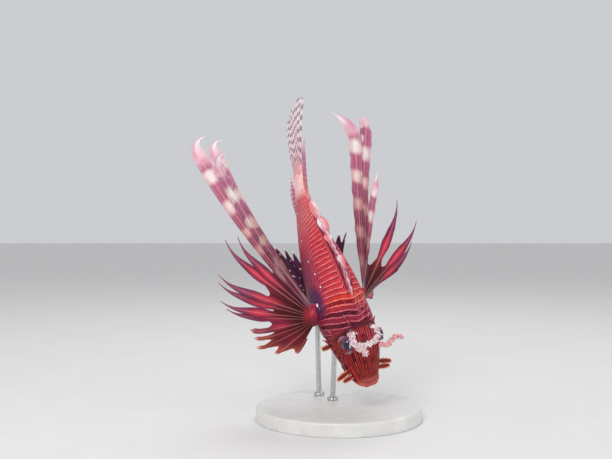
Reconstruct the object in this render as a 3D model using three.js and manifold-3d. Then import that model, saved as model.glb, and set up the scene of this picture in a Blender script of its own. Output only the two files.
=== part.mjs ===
// Red lionfish, a life-size display model on a plain stand.
// Millimetres, +Z up, with the origin at the middle of the stand's underside.
// The fish has a frame of its own: X forward, Y to its left, Z to its back, with the origin at
// the tip of its snout. A share is a part of the standard length, which runs from the snout to
// the root of the tail fin, and an angle round the body is 0 on the right, 90 on the back.

import Module from 'manifold-3d';
import * as THREE from 'three';
import { mergeVertices } from 'three/addons/utils/BufferGeometryUtils.js';

const wasm = await Module();
wasm.setup();

// Driving dimensions of the whole model
const LENGTH = 165;
const GAP = 0.3;
const TILT = 21.2;
const PITCH = 12;
const ROLL = 22;
const SNOUT = new THREE.Vector3(22, -22, 30);
const BEND_START = 0.62;
const BEND_RADIUS = 285;

// Outline of the body: back, belly and half width, each as shares of the length
const backLine = through([[0, 0.012], [0.04, 0.045], [0.08, 0.078], [0.12, 0.108],
  [0.16, 0.128], [0.2, 0.138], [0.26, 0.146], [0.32, 0.16], [0.38, 0.172], [0.46, 0.176],
  [0.56, 0.164], [0.68, 0.134], [0.8, 0.096], [0.9, 0.066], [1, 0.052]]);
const bellyLine = through([[0, -0.012], [0.04, -0.052], [0.08, -0.078], [0.14, -0.105],
  [0.2, -0.128], [0.28, -0.152], [0.36, -0.168], [0.46, -0.172], [0.56, -0.162],
  [0.68, -0.132], [0.8, -0.09], [0.9, -0.06], [1, -0.048]]);
const sideLine = through([[0, 0.03], [0.015, 0.046], [0.04, 0.06], [0.08, 0.076],
  [0.14, 0.094], [0.2, 0.106], [0.28, 0.116], [0.36, 0.118], [0.44, 0.11], [0.54, 0.094],
  [0.66, 0.07], [0.78, 0.048], [0.88, 0.031], [0.96, 0.02], [1, 0.015]]);
const KEEL = 0.16;
const BROW = { share: 0.18, reach: 0.055, angle: 58, spread: 15, rise: 0.018, dip: 0.014 };

// Where the body is parted
const BODY_SIDES = 24;
const GILL = { nape: 0.32, throat: 0.265, reach: 0.075 };
const HEAD_SHARES = [0, 0.008, 0.025, 0.05, 0.08, 0.11, 0.14, 0.165, 0.19, 0.22, 0.25, 0.285,
  GILL.nape];
const STEM_SHARE = 0.74;
const TRUNK_RINGS = 9;
const STEM_RINGS = 7;

// Eyes, jaw and gill covers
const EYE = { share: 0.19, side: 0.06, height: 0.08, radius: 6.5 };
const MOUTH = { tip: 0.004, corner: 0.125, drop: 0.062, back: 0.16, opening: 0.5, lip: 1.8 };
const GILL_COVER = { front: 0.275, rear: 0.39, low: -60, high: 28, round: 0.025, sweep: 0.05,
  thickness: 1.2 };

// Forms raised on the head, each by its shares along and its angles round the body
const CREST = { shares: [0.225, 0.205, 0.18, 0.155, 0.13], angles: [64, 60, 60, 66, 76], radius: 1.7 };
const CHEEK_RIDGE = { shares: [0.09, 0.13, 0.17, 0.21, 0.25], angles: [10, 6, 2, 0, -2], radius: 1.3 };
const NOSTRIL = { share: 0.095, angle: 71, radius: 1.4, height: 1.1, pit: 0.7, sides: 8 };
const THORNS = [[0.235, -12], [0.24, -26], [0.235, -40], [0.255, 22], [0.265, 66], [0.29, 62]];
const THORN = { length: 4.2, radius: 1.1, sides: 5, lean: 50 };
const LIP_FLAPS = [[0.08, 0, 11], [0.055, 2, 9], [0.215, -20, 6]];
const FLAP = { width: 3.2, sweep: 15, sunk: 1.6 };
const TENTACLES = {
  left: { share: 0.145, angle: 122, heading: [0.13, 1, 0.14], length: 19, sag: 2.2 },
  right: { share: 0.165, angle: 62, heading: [0.74, 0.62, 0.04], length: 13, sag: -0.8 },
};

// Fins, with lengths as shares and angles in degrees
const MEMBRANE = 0.3;
const RAY_FOOT = 0.22;
const SPINY = { start: 0.35, end: 0.765, spines: 13, clear: 3, rise: 2.2, lean: 0.3, stagger: 0.7,
  height: 5, width: 4.2 };
const spinyLengths = through([[0, 0.2], [0.083, 0.26], [0.167, 0.316], [0.25, 0.37], [0.333, 0.31],
  [0.5, 0.24], [0.667, 0.18], [0.833, 0.12], [1, 0.06]]);
const SOFT = { start: 0.845, end: 0.93, rays: 10, rise: 17, length: 0.3 };
const ANAL = { start: 0.71, end: 0.86, rays: 9, drop: 17, length: 0.27 };
const CAUDAL = { rays: 11, spread: 18, length: 0.39 };
const PELVIC = { share: 0.37, side: 5.5, rays: 6, drop: 9, length: 0.45, shorter: 0.3 };
const PELVIC_TURNS = { left: [7, 29], right: [-3, 20] };
const PECTORAL = { upper: 0.405, lower: 0.335, top: 0.012, bottom: -0.105, rays: 14, lobe: 3.2 };
const webShares = through([[0, 0.3], [2, 0.3], [3, 0.5], [6, 0.46], [8, 0.52], [10, 0.66],
  [13, 0.88]]);
// Each ray of a pectoral fan by its number: its length, the way it heads, how far it drops under
// the fan's level, how far it bows and curls on its way, where the curl starts, and its width
const FANS = {
  left: {
    length: through([[0, 0.95], [1, 0.91], [2, 0.64], [3, 0.56], [5, 0.57], [8, 0.43], [10, 0.36],
      [12, 0.21], [13, 0.15]]),
    angle: through([[0, 20], [1, 24], [2, 30], [3, 50], [4, 65], [5, 72.5], [6, 84], [9, 107],
      [13, 135]]),
    drop: through([[0, 10], [3, 10], [5, 26], [6, 58], [8, 76], [13, 86]]),
    bow: through([[0, -6], [2, -6], [3, 9], [4, 9], [13, 9]]),
    curl: through([[0, 76], [1, 0], [2, 0], [3, 20], [4, 20], [13, 20]]),
    late: through([[0, 0.74], [13, 0.74]]),
    width: through([[0, 8], [1, 10.5], [2, 5], [3, 6.6], [4, 6.6], [13, 6]]),
  },
  right: {
    length: through([[0, 0.87], [1, 0.94], [2, 1.01], [3, 0.48], [4, 0.52], [5, 0.46], [6, 0.45],
      [7, 0.42], [8, 0.39], [9, 0.28], [11, 0.28], [12, 0.22], [13, 0.15]]),
    angle: through([[0, 17], [1, 15.5], [2, 19], [3, 29], [4, 34], [5, 51], [6, 54.5], [7, 64],
      [8, 67.5], [9, 83], [10, 90], [11, 98], [12, 111], [13, 132]]),
    drop: through([[0, 22], [8, 26], [13, 30]]),
    bow: through([[0, 16], [2, 16], [3, 9], [4, 9], [13, 9]]),
    curl: through([[0, 100], [2, 100], [3, 20], [4, 20], [13, 20]]),
    late: through([[0, 0.89], [2, 0.89], [3, 0.72], [4, 0.72], [13, 0.72]]),
    width: through([[0, 9], [2, 10.5], [3, 6.6], [4, 6.6], [13, 6]]),
  },
};
const LONG_RAYS = 3;
const RIBBON = { root: 1.2, tip: 1.2, ridge: 0.8, rim: 0.28, apart: 1.4 };
const LONG_ROWS = [0, 0.12, 0.3, 0.5, 0.7, 0.84, 0.88, 0.92, 0.96, 1];
const SHORT_ROWS = [0, 0.22, 0.45, 0.75, 1];

// The stand
const BASE = { radius: 62, height: 10, chamfer: 1.5, sides: 64 };
const ROD = { radius: 2, sides: 12, sunk: 4 };
const RODS = {
  stand_rod_front: { foot: [-4, 18], share: 0.3, aside: 0 },
  stand_rod_rear: { foot: [-14, 36], share: 0.6, aside: 3 },
};

// Colours of the pieces
const FINISHES = {
  skin: { color: 0xb3402e, roughness: 0.45 },
  fin: { color: 0x8d5a66, roughness: 0.5 },
  eye: { color: 0x1c0f14, roughness: 0.08 },
  base: { color: 0xe9e7e2, roughness: 0.4 },
  rod: { color: 0xc9ccd0, roughness: 0.25, metalness: 1 },
};

function radians(degrees) {
  return degrees * Math.PI / 180;
}

function mix(a, b, share) {
  return a + (b - a) * share;
}

function smooth(share) {
  const t = Math.min(Math.max(share, 0), 1);
  return t * t * (3 - 2 * t);
}

function bell(distance, reach) {
  return Math.exp(-((distance / reach) ** 2));
}

// A smooth line through keys of place and height
function through(keys) {
  const steps = keys.slice(1).map(([x, y], k) => (y - keys[k][1]) / (x - keys[k][0]));
  const slopes = keys.map((key, k) => {
    const before = steps[Math.max(k - 1, 0)];
    const after = steps[Math.min(k, steps.length - 1)];
    return (before + after) / 2;
  });
  return (x) => {
    let k = 0;
    while (k < keys.length - 2 && x > keys[k + 1][0]) k += 1;
    const wide = keys[k + 1][0] - keys[k][0];
    const t = (x - keys[k][0]) / wide;
    return (2 * t ** 3 - 3 * t ** 2 + 1) * keys[k][1] + (t ** 3 - 2 * t ** 2 + t) * wide * slopes[k]
      + (3 * t ** 2 - 2 * t ** 3) * keys[k + 1][1] + (t ** 3 - t ** 2) * wide * slopes[k + 1];
  };
}

// A point on the skin; grow moves it outward
function bodyPoint(share, degrees, grow = 0) {
  const back = backLine(share) * LENGTH;
  const belly = bellyLine(share) * LENGTH;
  const rise = Math.sin(radians(degrees));
  const across = Math.cos(radians(degrees));
  const keel = 1 - KEEL * smooth((share - 0.25) / 0.15) * rise;
  const near = bell(share - BROW.share, BROW.reach);
  const brow = bell(degrees - BROW.angle, BROW.spread) + bell(180 - degrees - BROW.angle, BROW.spread);
  const bump = near * (BROW.rise * brow - BROW.dip * bell(degrees - 90, BROW.spread)) * LENGTH;
  const width = (sideLine(share) * LENGTH + grow) * keel + bump;
  const depth = (back - belly) / 2 + grow + bump;
  return new THREE.Vector3(-share * LENGTH, -width * across, (back + belly) / 2 + depth * rise);
}

// The tail swings to the fish's left on an arc
function bend(point) {
  const past = -point.x - BEND_START * LENGTH;
  if (past <= 0) return point.clone();
  const turn = past / BEND_RADIUS;
  const arm = BEND_RADIUS - point.y;
  const x = -BEND_START * LENGTH - arm * Math.sin(turn);
  return new THREE.Vector3(x, BEND_RADIUS - arm * Math.cos(turn), point.z);
}

function enclosedVolume(places, corners) {
  const p = [0, 1, 2].map(() => new THREE.Vector3());
  let sum = 0;
  for (let k = 0; k < corners.length; k += 3) {
    p.forEach((point, j) => point.fromArray(places, 3 * corners[k + j]));
    sum += p[0].dot(p[1].clone().cross(p[2])) / 6;
  }
  return sum;
}

// A closed geometry as a solid with its faces outward
function solid(geometry) {
  const bare = geometry.clone();
  bare.deleteAttribute('normal');
  bare.deleteAttribute('uv');
  const welded = mergeVertices(bare, 1e-4);
  const vertProperties = Float32Array.from(welded.attributes.position.array);
  const triVerts = Uint32Array.from(welded.index.array);
  if (enclosedVolume(vertProperties, triVerts) < 0) triVerts.reverse();
  return new wasm.Manifold(new wasm.Mesh({ numProp: 3, vertProperties, triVerts }));
}

function solidOf(points, faces) {
  const geometry = new THREE.BufferGeometry().setFromPoints(points);
  geometry.setIndex(faces.flat());
  return solid(geometry);
}

// Rings of points joined along their travel and closed at both ends
function loft(rings) {
  const sides = rings[0].length;
  const points = rings.flat();
  const faces = [];
  for (let ring = 0; ring < rings.length - 1; ring += 1) {
    for (let k = 0; k < sides; k += 1) {
      const a = ring * sides + k;
      const b = ring * sides + (k + 1) % sides;
      faces.push([a, b, b + sides], [a, b + sides, a + sides]);
    }
  }
  for (const ring of [0, rings.length - 1]) {
    const centre = new THREE.Vector3();
    rings[ring].forEach((point) => centre.addScaledVector(point, 1 / sides));
    points.push(centre);
    for (let k = 0; k < sides; k += 1) {
      const cap = [points.length - 1, ring * sides + k, ring * sides + (k + 1) % sides];
      faces.push(ring === 0 ? cap.reverse() : cap);
    }
  }
  return solidOf(points, faces);
}

// A thin sheet whose two faces are split alike, over shares across and along
function sheet(across, along, place, half) {
  const step = 1e-3;
  const points = [[], []];
  for (const v of along) {
    for (const u of across) {
      const middle = place(u, v);
      const sideways = place(u + step, v).sub(place(u - step, v));
      const outward = place(u, v + step).sub(place(u, v - step));
      const normal = sideways.cross(outward).setLength(half(u, v));
      points[0].push(middle.clone().add(normal));
      points[1].push(middle.clone().sub(normal));
    }
  }
  const wide = across.length;
  const count = points[0].length;
  const faces = [];
  for (let row = 0; row < along.length - 1; row += 1) {
    for (let k = 0; k < wide - 1; k += 1) {
      const a = row * wide + k;
      const corners = [[a, a + 1, a + wide + 1], [a, a + wide + 1, a + wide]];
      corners.forEach((face) => faces.push(face, face.map((c) => c + count).reverse()));
    }
  }
  const rim = [];
  for (let k = 0; k < wide - 1; k += 1) rim.push(k);
  for (let row = 0; row < along.length - 1; row += 1) rim.push(row * wide + wide - 1);
  for (let k = wide - 1; k > 0; k -= 1) rim.push((along.length - 1) * wide + k);
  for (let row = along.length - 1; row > 0; row -= 1) rim.push(row * wide);
  rim.forEach((a, k) => {
    const b = rim[(k + 1) % rim.length];
    faces.push([b, a, a + count], [b, a + count, b + count]);
  });
  return solidOf(points.flat(), faces);
}

function shares(count) {
  return Array.from({ length: count }, (_, k) => k / (count - 1));
}

function largest(body) {
  return body.decompose().sort((a, b) => b.volume() - a.volume())[0];
}

// The share where the head ends, which runs round the gill opening
function headEnd(degrees) {
  const height = (1 + Math.sin(radians(degrees))) / 2;
  return mix(GILL.throat, GILL.nape, height) + GILL.reach * Math.cos(radians(degrees)) ** 2;
}

function ringAt(shareAt, shift = 0, grow = 0) {
  const ring = [];
  for (let k = 0; k < BODY_SIDES; k += 1) {
    const degrees = 360 * k / BODY_SIDES - 90 + 180 / BODY_SIDES;
    const share = shareAt(degrees);
    const point = bodyPoint(share, degrees, grow);
    point.x -= shift;
    ring.push(bend(point));
  }
  return ring;
}

function headRings(grow = 0) {
  const rings = HEAD_SHARES.map((share, k) => {
    const late = (k / (HEAD_SHARES.length - 1)) ** 3;
    return ringAt((degrees) => share + late * (headEnd(degrees) - GILL.nape), 0, grow);
  });
  rings[0].forEach((point) => { point.x += grow; });
  return rings;
}

function trunkRings(shift = 0, grow = 0) {
  return shares(TRUNK_RINGS).map((t) => {
    const shareAt = (degrees) => mix(headEnd(degrees), STEM_SHARE, t);
    return ringAt(shareAt, shift * (1 - t), grow);
  });
}

function stemRings(shift = 0, grow = 0) {
  return shares(STEM_RINGS).map((t) => ringAt(() => mix(STEM_SHARE, 1, t), shift * (1 - t), grow));
}

// The whole body a little larger, which cuts the roots clear
function bodyRoom(grow) {
  const rings = [...headRings(grow), ...trunkRings(0, grow).slice(1)];
  rings.push(...stemRings(0, grow).slice(1));
  rings[rings.length - 1].forEach((point) => { point.x -= grow; });
  return loft(rings);
}

function ball(centre, radius, around, upward) {
  return solid(new THREE.SphereGeometry(radius, around, upward).translate(...centre.toArray()));
}

function eyeCentre(side) {
  return new THREE.Vector3(-EYE.share, side * EYE.side, EYE.height).multiplyScalar(LENGTH);
}

// The wedge under the line of the mouth; widen moves its cut faces outward
function jawWedge(widen) {
  const tip = MOUTH.tip * LENGTH;
  const corner = new THREE.Vector2(MOUTH.corner, MOUTH.tip - MOUTH.drop).multiplyScalar(LENGTH);
  const slope = MOUTH.drop / MOUTH.corner;
  const front = -0.05 * LENGTH;
  const floor = -0.25 * LENGTH;
  const outline = new THREE.Shape([
    new THREE.Vector2(front, tip - slope * front + widen),
    new THREE.Vector2(corner.x + widen, corner.y + widen * (1 - slope)),
    new THREE.Vector2(MOUTH.back * LENGTH + widen, floor),
    new THREE.Vector2(front, floor),
  ]);
  const wide = 0.3 * LENGTH;
  const wedge = new THREE.ExtrudeGeometry(outline, { depth: wide, bevelEnabled: false });
  wedge.translate(0, 0, -wide / 2).rotateX(Math.PI / 2).rotateZ(Math.PI);
  return solid(wedge);
}

// A tube of few sides along points, tapered by its radii
function tube(points, radii, sides) {
  const rings = points.map((point, k) => {
    const ahead = points[Math.min(k + 1, points.length - 1)].clone();
    ahead.sub(points[Math.max(k - 1, 0)]).normalize();
    const level = new THREE.Vector3(0, 0, 1).cross(ahead);
    if (level.length() < 0.1) level.set(0, 1, 0);
    level.normalize();
    const upright = ahead.clone().cross(level);
    return Array.from({ length: sides }, (_, j) => {
      const turn = 2 * Math.PI * j / sides;
      const place = point.clone().addScaledVector(level, Math.cos(turn) * radii[k]);
      return place.addScaledVector(upright, Math.sin(turn) * radii[k]);
    });
  });
  return loft(rings);
}

// A tapered strip of six sides, with its ray raised along the middle of both faces
function ribbon(path, facing, rows, width, ridge, rim) {
  const step = 1e-3;
  const rings = rows.map((v) => {
    const middle = path(v);
    const ahead = path(Math.min(v + step, 1)).sub(path(Math.max(v - step, 0))).normalize();
    const across = facing.clone().cross(ahead).normalize();
    const outward = ahead.clone().cross(across);
    const half = width(v) / 2;
    const corners = [[-half, rim], [0, ridge(v)], [half, rim], [half, -rim], [0, -ridge(v)],
      [-half, -rim]];
    return corners.map(([aside, out]) => {
      const corner = middle.clone().addScaledVector(across, aside);
      return corner.addScaledVector(outward, out);
    });
  });
  return loft(rings);
}

// A point on one side of the skin and the direction out of it; side is 1 on the left
function skinPlace(side, share, degrees) {
  const angle = side > 0 ? 180 - degrees : degrees;
  const point = bodyPoint(share, angle);
  const out = bodyPoint(share, angle, 1).sub(point);
  out.x = 0;
  return { point, out: out.normalize() };
}

// The two lips, one roll along the line of the mouth before the jaw is cut free
function lipRoll() {
  const slope = MOUTH.drop / MOUTH.corner;
  const oneSide = [1, 0.8, 0.55, 0.32, 0.14, 0.03].map((t) => {
    const share = t * MOUTH.corner;
    const back = backLine(share);
    const belly = bellyLine(share);
    const height = (MOUTH.tip - slope * share - (back + belly) / 2) / ((back - belly) / 2);
    return bodyPoint(share, Math.asin(height) * 180 / Math.PI, -0.3);
  });
  const otherSide = oneSide.map((point) => new THREE.Vector3(point.x, -point.y, point.z)).reverse();
  const points = [...oneSide, ...otherSide];
  const radii = points.map((point) => MOUTH.lip * mix(1, 0.6, -point.x / (MOUTH.corner * LENGTH)));
  return tube(points, radii, 6);
}

function ridgeAlong(side, { shares: along, angles, radius }, grow = 0) {
  const points = along.map((share, k) => skinPlace(side, share, angles[k]).point);
  const last = along.length - 1;
  const radii = along.map((_, k) => radius * (0.55 + 0.45 * Math.sin(Math.PI * k / last)) + grow);
  return tube(points, radii, 6);
}

function nostril(side) {
  const { point, out } = skinPlace(side, NOSTRIL.share, NOSTRIL.angle);
  const root = point.clone().addScaledVector(out, -1.5);
  const top = point.clone().addScaledVector(out, NOSTRIL.height);
  const wall = tube([root, top], [NOSTRIL.radius * 1.3, NOSTRIL.radius], NOSTRIL.sides);
  const past = top.clone().addScaledVector(out, 1);
  return { wall, pit: tube([point, past], [NOSTRIL.pit, NOSTRIL.pit], NOSTRIL.sides) };
}

function thorn(side, [share, degrees]) {
  const { point, out } = skinPlace(side, share, degrees);
  const lean = radians(THORN.lean);
  const heading = out.clone().multiplyScalar(Math.cos(lean));
  heading.x -= Math.sin(lean);
  const root = point.clone().addScaledVector(heading, -1.2);
  const tip = point.clone().addScaledVector(heading, THORN.length);
  return tube([root, tip], [THORN.radius, 0.15], THORN.sides);
}

// A leaf of skin that stands out beside the mouth
function flap(side, [share, degrees, length]) {
  const { point, out } = skinPlace(side, share, degrees);
  const heading = new THREE.Vector3(Math.sin(radians(FLAP.sweep)), out.y, out.z).normalize();
  const root = point.clone().addScaledVector(heading, -FLAP.sunk);
  const path = (v) => root.clone().addScaledVector(heading, v * (length + FLAP.sunk));
  const width = (v) => FLAP.width * (0.45 + 0.55 * Math.sin(Math.PI * (0.15 + 0.75 * v)));
  return ribbon(path, new THREE.Vector3(0, 0.3, 1), [0, 0.35, 0.75, 1], width, () => 0.55, 0.26);
}

function headSolids() {
  let whole = loft(headRings()).add(lipRoll());
  for (const side of [1, -1]) {
    const { wall, pit } = nostril(side);
    whole = whole.add(wall).subtract(pit);
    whole = whole.add(ridgeAlong(side, CREST)).add(ridgeAlong(side, CHEEK_RIDGE));
    THORNS.forEach((place) => { whole = whole.add(thorn(side, place)); });
    LIP_FLAPS.forEach((place) => { whole = whole.add(flap(side, place)); });
    whole = whole.subtract(ball(eyeCentre(side), EYE.radius + GAP, 16, 10));
  }
  return {
    head: largest(whole.subtract(jawWedge(MOUTH.opening))),
    lower_jaw: largest(whole.intersect(jawWedge(0))),
  };
}

function gillCover(side, grow = 0) {
  const half = GILL_COVER.thickness / 2;
  const place = (u, v) => {
    const b = 2 * u - 1;
    const middle = (GILL_COVER.low + GILL_COVER.high) / 2;
    const degrees = middle + b * (1 - 0.3 * v * v) * (GILL_COVER.high - GILL_COVER.low) / 2;
    const rear = GILL_COVER.rear - GILL_COVER.round * b * b - GILL_COVER.sweep * (1 - b) / 2;
    const front = GILL_COVER.front - 0.02 * (1 - u);
    const point = bodyPoint(mix(front, rear, v), degrees, GAP + 0.15 + half);
    point.y *= -side;
    return point;
  };
  const wider = grow / 8;
  const stretched = (count) => shares(count).map((t) => mix(-wider, 1 + wider, t));
  return sheet(stretched(8), stretched(6), place, () => half + grow);
}

// A frilled tentacle over the eye, from the crest of the brow
function tentacle(side, { share, angle, heading, length, sag }) {
  const degrees = side > 0 ? 180 - angle : angle;
  const { point, out } = skinPlace(side, share, degrees);
  const ahead = new THREE.Vector3(...heading).normalize();
  const root = point.clone().addScaledVector(out, 0.6);
  const path = (v) => {
    const place = root.clone().addScaledVector(ahead, v * length);
    place.x += sag * Math.sin(2 * Math.PI * v);
    return place;
  };
  const width = (v) => (2 + 2.2 * Math.abs(Math.sin(3.5 * Math.PI * v))) * (1 - 0.35 * v);
  return ribbon(path, new THREE.Vector3(0, 0, 1), shares(13), width, (v) => mix(0.9, 0.5, v), 0.3);
}

// Shares across a fin with a ray's ridge and its two feet
function rayColumns(rays) {
  const columns = [];
  for (let ray = 0; ray < rays - 1; ray += 1) {
    columns.push(ray, ray + RAY_FOOT, ray + 1 - RAY_FOOT);
  }
  columns.push(rays - 1);
  return columns.map((column) => column / (rays - 1));
}

function offRay(rays, u) {
  const at = u * (rays - 1);
  return Math.abs(at - Math.round(at));
}

// Half the thickness of a fin: thick at its root, with its rays raised
function finHalf(rays, root, ray) {
  return (u, v) => {
    const raised = offRay(rays, u) < 0.01 ? mix(ray, 0.45, v) : MEMBRANE;
    return Math.max(raised, mix(root, 0, smooth(v * 4)));
  };
}

function scalloped(rays, depth, u) {
  return 1 - depth * Math.sin(Math.PI * u * (rays - 1)) ** 2;
}

// A fin on the middle line, from its root line to its ray tips
function medianFin(rays, rows, base, heading, length, root) {
  const place = (u, v) => {
    const point = base(u);
    const turn = radians(heading(u));
    const reach = length(u) * LENGTH * v * scalloped(rays, 0.06 * v, u);
    return bend(point.add(new THREE.Vector3(-Math.cos(turn) * reach, 0, Math.sin(turn) * reach)));
  };
  return sheet(rayColumns(rays), shares(rows), place, finHalf(rays, root, 0.8));
}

// Folded spines, each with its own strip of membrane, over a low web
function spinyDorsal() {
  const shareAt = (u) => mix(SPINY.start, SPINY.end, u);
  const baseAt = (u) => new THREE.Vector3(-shareAt(u) * LENGTH, 0, backLine(shareAt(u)) * LENGTH - 2);
  const webPlace = (u, v) => {
    const point = baseAt(u);
    point.x -= v * SPINY.height * 1.5;
    point.z += v * (SPINY.height + 2);
    return bend(point);
  };
  const rows = [0, 0.2, 0.4, 0.6, 0.8, 1];
  const ridge = (v) => mix(1.1, 0.4, v);
  const width = (v) => SPINY.width * (0.45 + 0.55 * Math.sin(Math.PI * Math.min(0.1 + v, 0.93)));
  let fin = sheet(shares(SPINY.spines), shares(3), webPlace, (u, v) => mix(1.1, MEMBRANE, v));
  for (let k = 0; k < SPINY.spines; k += 1) {
    const u = k / (SPINY.spines - 1);
    const aside = k % 2 === 0 ? SPINY.stagger : -SPINY.stagger;
    const rise = SPINY.clear + SPINY.rise * (1 - u);
    const path = (v) => {
      const share = shareAt(u) + spinyLengths(u) * v;
      const height = backLine(share) * LENGTH - 2 + rise * smooth(1.5 * v);
      return bend(new THREE.Vector3(-share * LENGTH, (SPINY.lean + aside) * smooth(3 * v), height));
    };
    fin = fin.add(ribbon(path, new THREE.Vector3(0, 1, 0), rows, width, ridge, MEMBRANE));
  }
  return fin;
}

function softDorsal() {
  const base = (u) => {
    const share = mix(SOFT.start, SOFT.end, u);
    return new THREE.Vector3(-share * LENGTH, 0, backLine(share) * LENGTH - 2);
  };
  const length = (u) => SOFT.length * (1 - 0.25 * u);
  return medianFin(SOFT.rays, 5, base, () => SOFT.rise, length, 1.4);
}

function analFin() {
  const base = (u) => {
    const share = mix(ANAL.start, ANAL.end, u);
    return new THREE.Vector3(-share * LENGTH, 0, bellyLine(share) * LENGTH + 2);
  };
  const length = (u) => ANAL.length * (0.4 + 0.6 * smooth(3 * u)) * (1 - 0.2 * u);
  return medianFin(ANAL.rays, 5, base, () => -ANAL.drop, length, 1.4);
}

function caudalFin() {
  const base = (u) => {
    const height = mix(bellyLine(1), backLine(1), u) * LENGTH * 0.92;
    return new THREE.Vector3(-LENGTH - GAP, 0, height);
  };
  const heading = (u) => mix(-CAUDAL.spread, CAUDAL.spread, u);
  const length = (u) => CAUDAL.length * (1 - 0.12 * (2 * u - 1) ** 2);
  return medianFin(CAUDAL.rays, 6, base, heading, length, 1.9);
}

function pelvicFin(side, [inner, outer]) {
  const place = (u, v) => {
    const root = new THREE.Vector3(-PELVIC.share * LENGTH, side * (PELVIC.side + 3 * u), 0);
    root.z = bellyLine(PELVIC.share) * LENGTH + 3;
    const turn = radians(mix(inner, outer, u));
    const drop = radians(PELVIC.drop);
    const edge = scalloped(PELVIC.rays, 0.12 * v, u);
    const reach = PELVIC.length * LENGTH * (1 - PELVIC.shorter * (1 - u)) * v * edge;
    const heading = new THREE.Vector3(-Math.cos(turn) * Math.cos(drop),
      side * Math.sin(turn) * Math.cos(drop), -Math.sin(drop));
    return root.addScaledVector(heading, reach);
  };
  return sheet(rayColumns(PELVIC.rays), shares(6), place, finHalf(PELVIC.rays, 1.2, 0.8));
}

// The place of a pectoral ray's root, on the rim of the fleshy lobe
function pectoralRoot(side, share, out) {
  const along = mix(PECTORAL.upper, PECTORAL.lower, share);
  const height = mix(PECTORAL.top, PECTORAL.bottom, share) * LENGTH;
  const back = backLine(along) * LENGTH;
  const belly = bellyLine(along) * LENGTH;
  const degrees = Math.asin((height - (back + belly) / 2) / ((back - belly) / 2)) * 180 / Math.PI;
  const point = bodyPoint(along, degrees, out);
  point.y *= -side;
  return point;
}

// The middle line of one ray, with the direction out of the fan's plane
function pectoralRay(side, fan, ray) {
  const count = 80;
  const drop = radians(fan.drop(ray));
  const outward = new THREE.Vector3(0, side * Math.cos(drop), -Math.sin(drop));
  const points = [pectoralRoot(side, ray / (PECTORAL.rays - 1), PECTORAL.lobe)];
  for (let k = 0; k < count; k += 1) {
    const share = (k + 0.5) / count;
    const late = smooth((share - fan.late(ray)) / (1 - fan.late(ray)));
    const turn = radians(fan.angle(ray) - fan.bow(ray) * share ** 2 - fan.curl(ray) * late);
    const step = fan.length(ray) * LENGTH / count;
    const next = points[k].clone().addScaledVector(outward, Math.sin(turn) * step);
    next.x -= Math.cos(turn) * step;
    points.push(next);
  }
  const path = (share) => {
    const place = Math.min(Math.max(share, 0), 1) * count;
    const k = Math.min(Math.floor(place), count - 1);
    return points[k].clone().lerp(points[k + 1], place - k);
  };
  return { path, facing: new THREE.Vector3(-1, 0, 0).cross(outward) };
}

// A web with its rays raised, and the rays' own strips that stand free past its edge
function pectoralFin(side, fan) {
  const rays = Array.from({ length: PECTORAL.rays }, (_, ray) => pectoralRay(side, fan, ray));
  const last = PECTORAL.rays - 1;
  const webPlace = (u, v) => {
    const at = Math.min(Math.max(u, 0), 1) * last;
    const k = Math.min(Math.floor(at), last - 1);
    const edge = scalloped(PECTORAL.rays, 0.12 * v, u);
    const near = rays[k].path(v * webShares(k) * edge);
    return near.lerp(rays[k + 1].path(v * webShares(k + 1) * edge), at - k);
  };
  const webHalf = (u) => (offRay(PECTORAL.rays, u) < 0.01 ? RIBBON.ridge : MEMBRANE);
  const web = sheet(shares(2 * PECTORAL.rays - 1), shares(5), webPlace, webHalf);
  const lobePlace = (u, v) => pectoralRoot(side, mix(-0.05, 1.05, u), mix(-3, PECTORAL.lobe + 1, v));
  let fin = sheet(shares(8), shares(4), lobePlace, (u, v) => mix(2.4, 1.3, v)).add(web);
  rays.forEach(({ path, facing }, ray) => {
    const long = ray < LONG_RAYS;
    const start = 0.8 * webShares(ray);
    const open = (t) => smooth(t / 0.3);
    const level = long ? ray - 1 : (ray % 2) / 2 - 0.25;
    const strip = (t) => path(mix(start, 1, t)).addScaledVector(facing, RIBBON.apart * level * open(t));
    const width = (t) => {
      const widest = fan.width(ray) * (long ? mix(0.55, 1, t) : 1);
      const taper = smooth((1 - t) / (long ? 0.14 : 0.65));
      return mix(RIBBON.root, mix(RIBBON.tip, widest, taper), open(t));
    };
    const ridge = (t) => mix(0.35, mix(RIBBON.ridge, 0.45, t), open(2 * t));
    fin = fin.add(ribbon(strip, facing, long ? LONG_ROWS : SHORT_ROWS, width, ridge, RIBBON.rim));
  });
  return fin;
}

// Turns the fish's frame into the stand's
function fishMatrix() {
  const tilt = radians(TILT);
  const pitch = radians(PITCH);
  const roll = radians(ROLL);
  const forward = new THREE.Vector3(Math.sin(tilt) * Math.cos(pitch), -Math.sin(pitch),
    -Math.cos(tilt) * Math.cos(pitch));
  const level = new THREE.Vector3(0, -1, 0).addScaledVector(forward, forward.y).normalize();
  const right = forward.clone().cross(level);
  const up = level.multiplyScalar(Math.cos(roll)).addScaledVector(right, -Math.sin(roll));
  const left = up.clone().cross(forward);
  return new THREE.Matrix4().makeBasis(forward, left, up).setPosition(SNOUT);
}

function placed(body, matrix) {
  const mesh = body.getMesh();
  const geometry = new THREE.BufferGeometry();
  geometry.setAttribute('position', new THREE.Float32BufferAttribute(mesh.vertProperties, 3));
  geometry.setIndex(Array.from(mesh.triVerts));
  geometry.applyMatrix4(matrix);
  return geometry;
}

function standBase() {
  const { radius, height, chamfer, sides } = BASE;
  const profile = [[0, 0], [radius, 0], [radius, height - chamfer], [radius - chamfer, height],
    [0, height]];
  const points = profile.map(([x, y]) => new THREE.Vector2(x, y));
  return solid(new THREE.LatheGeometry(points, sides).rotateX(Math.PI / 2));
}

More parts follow.
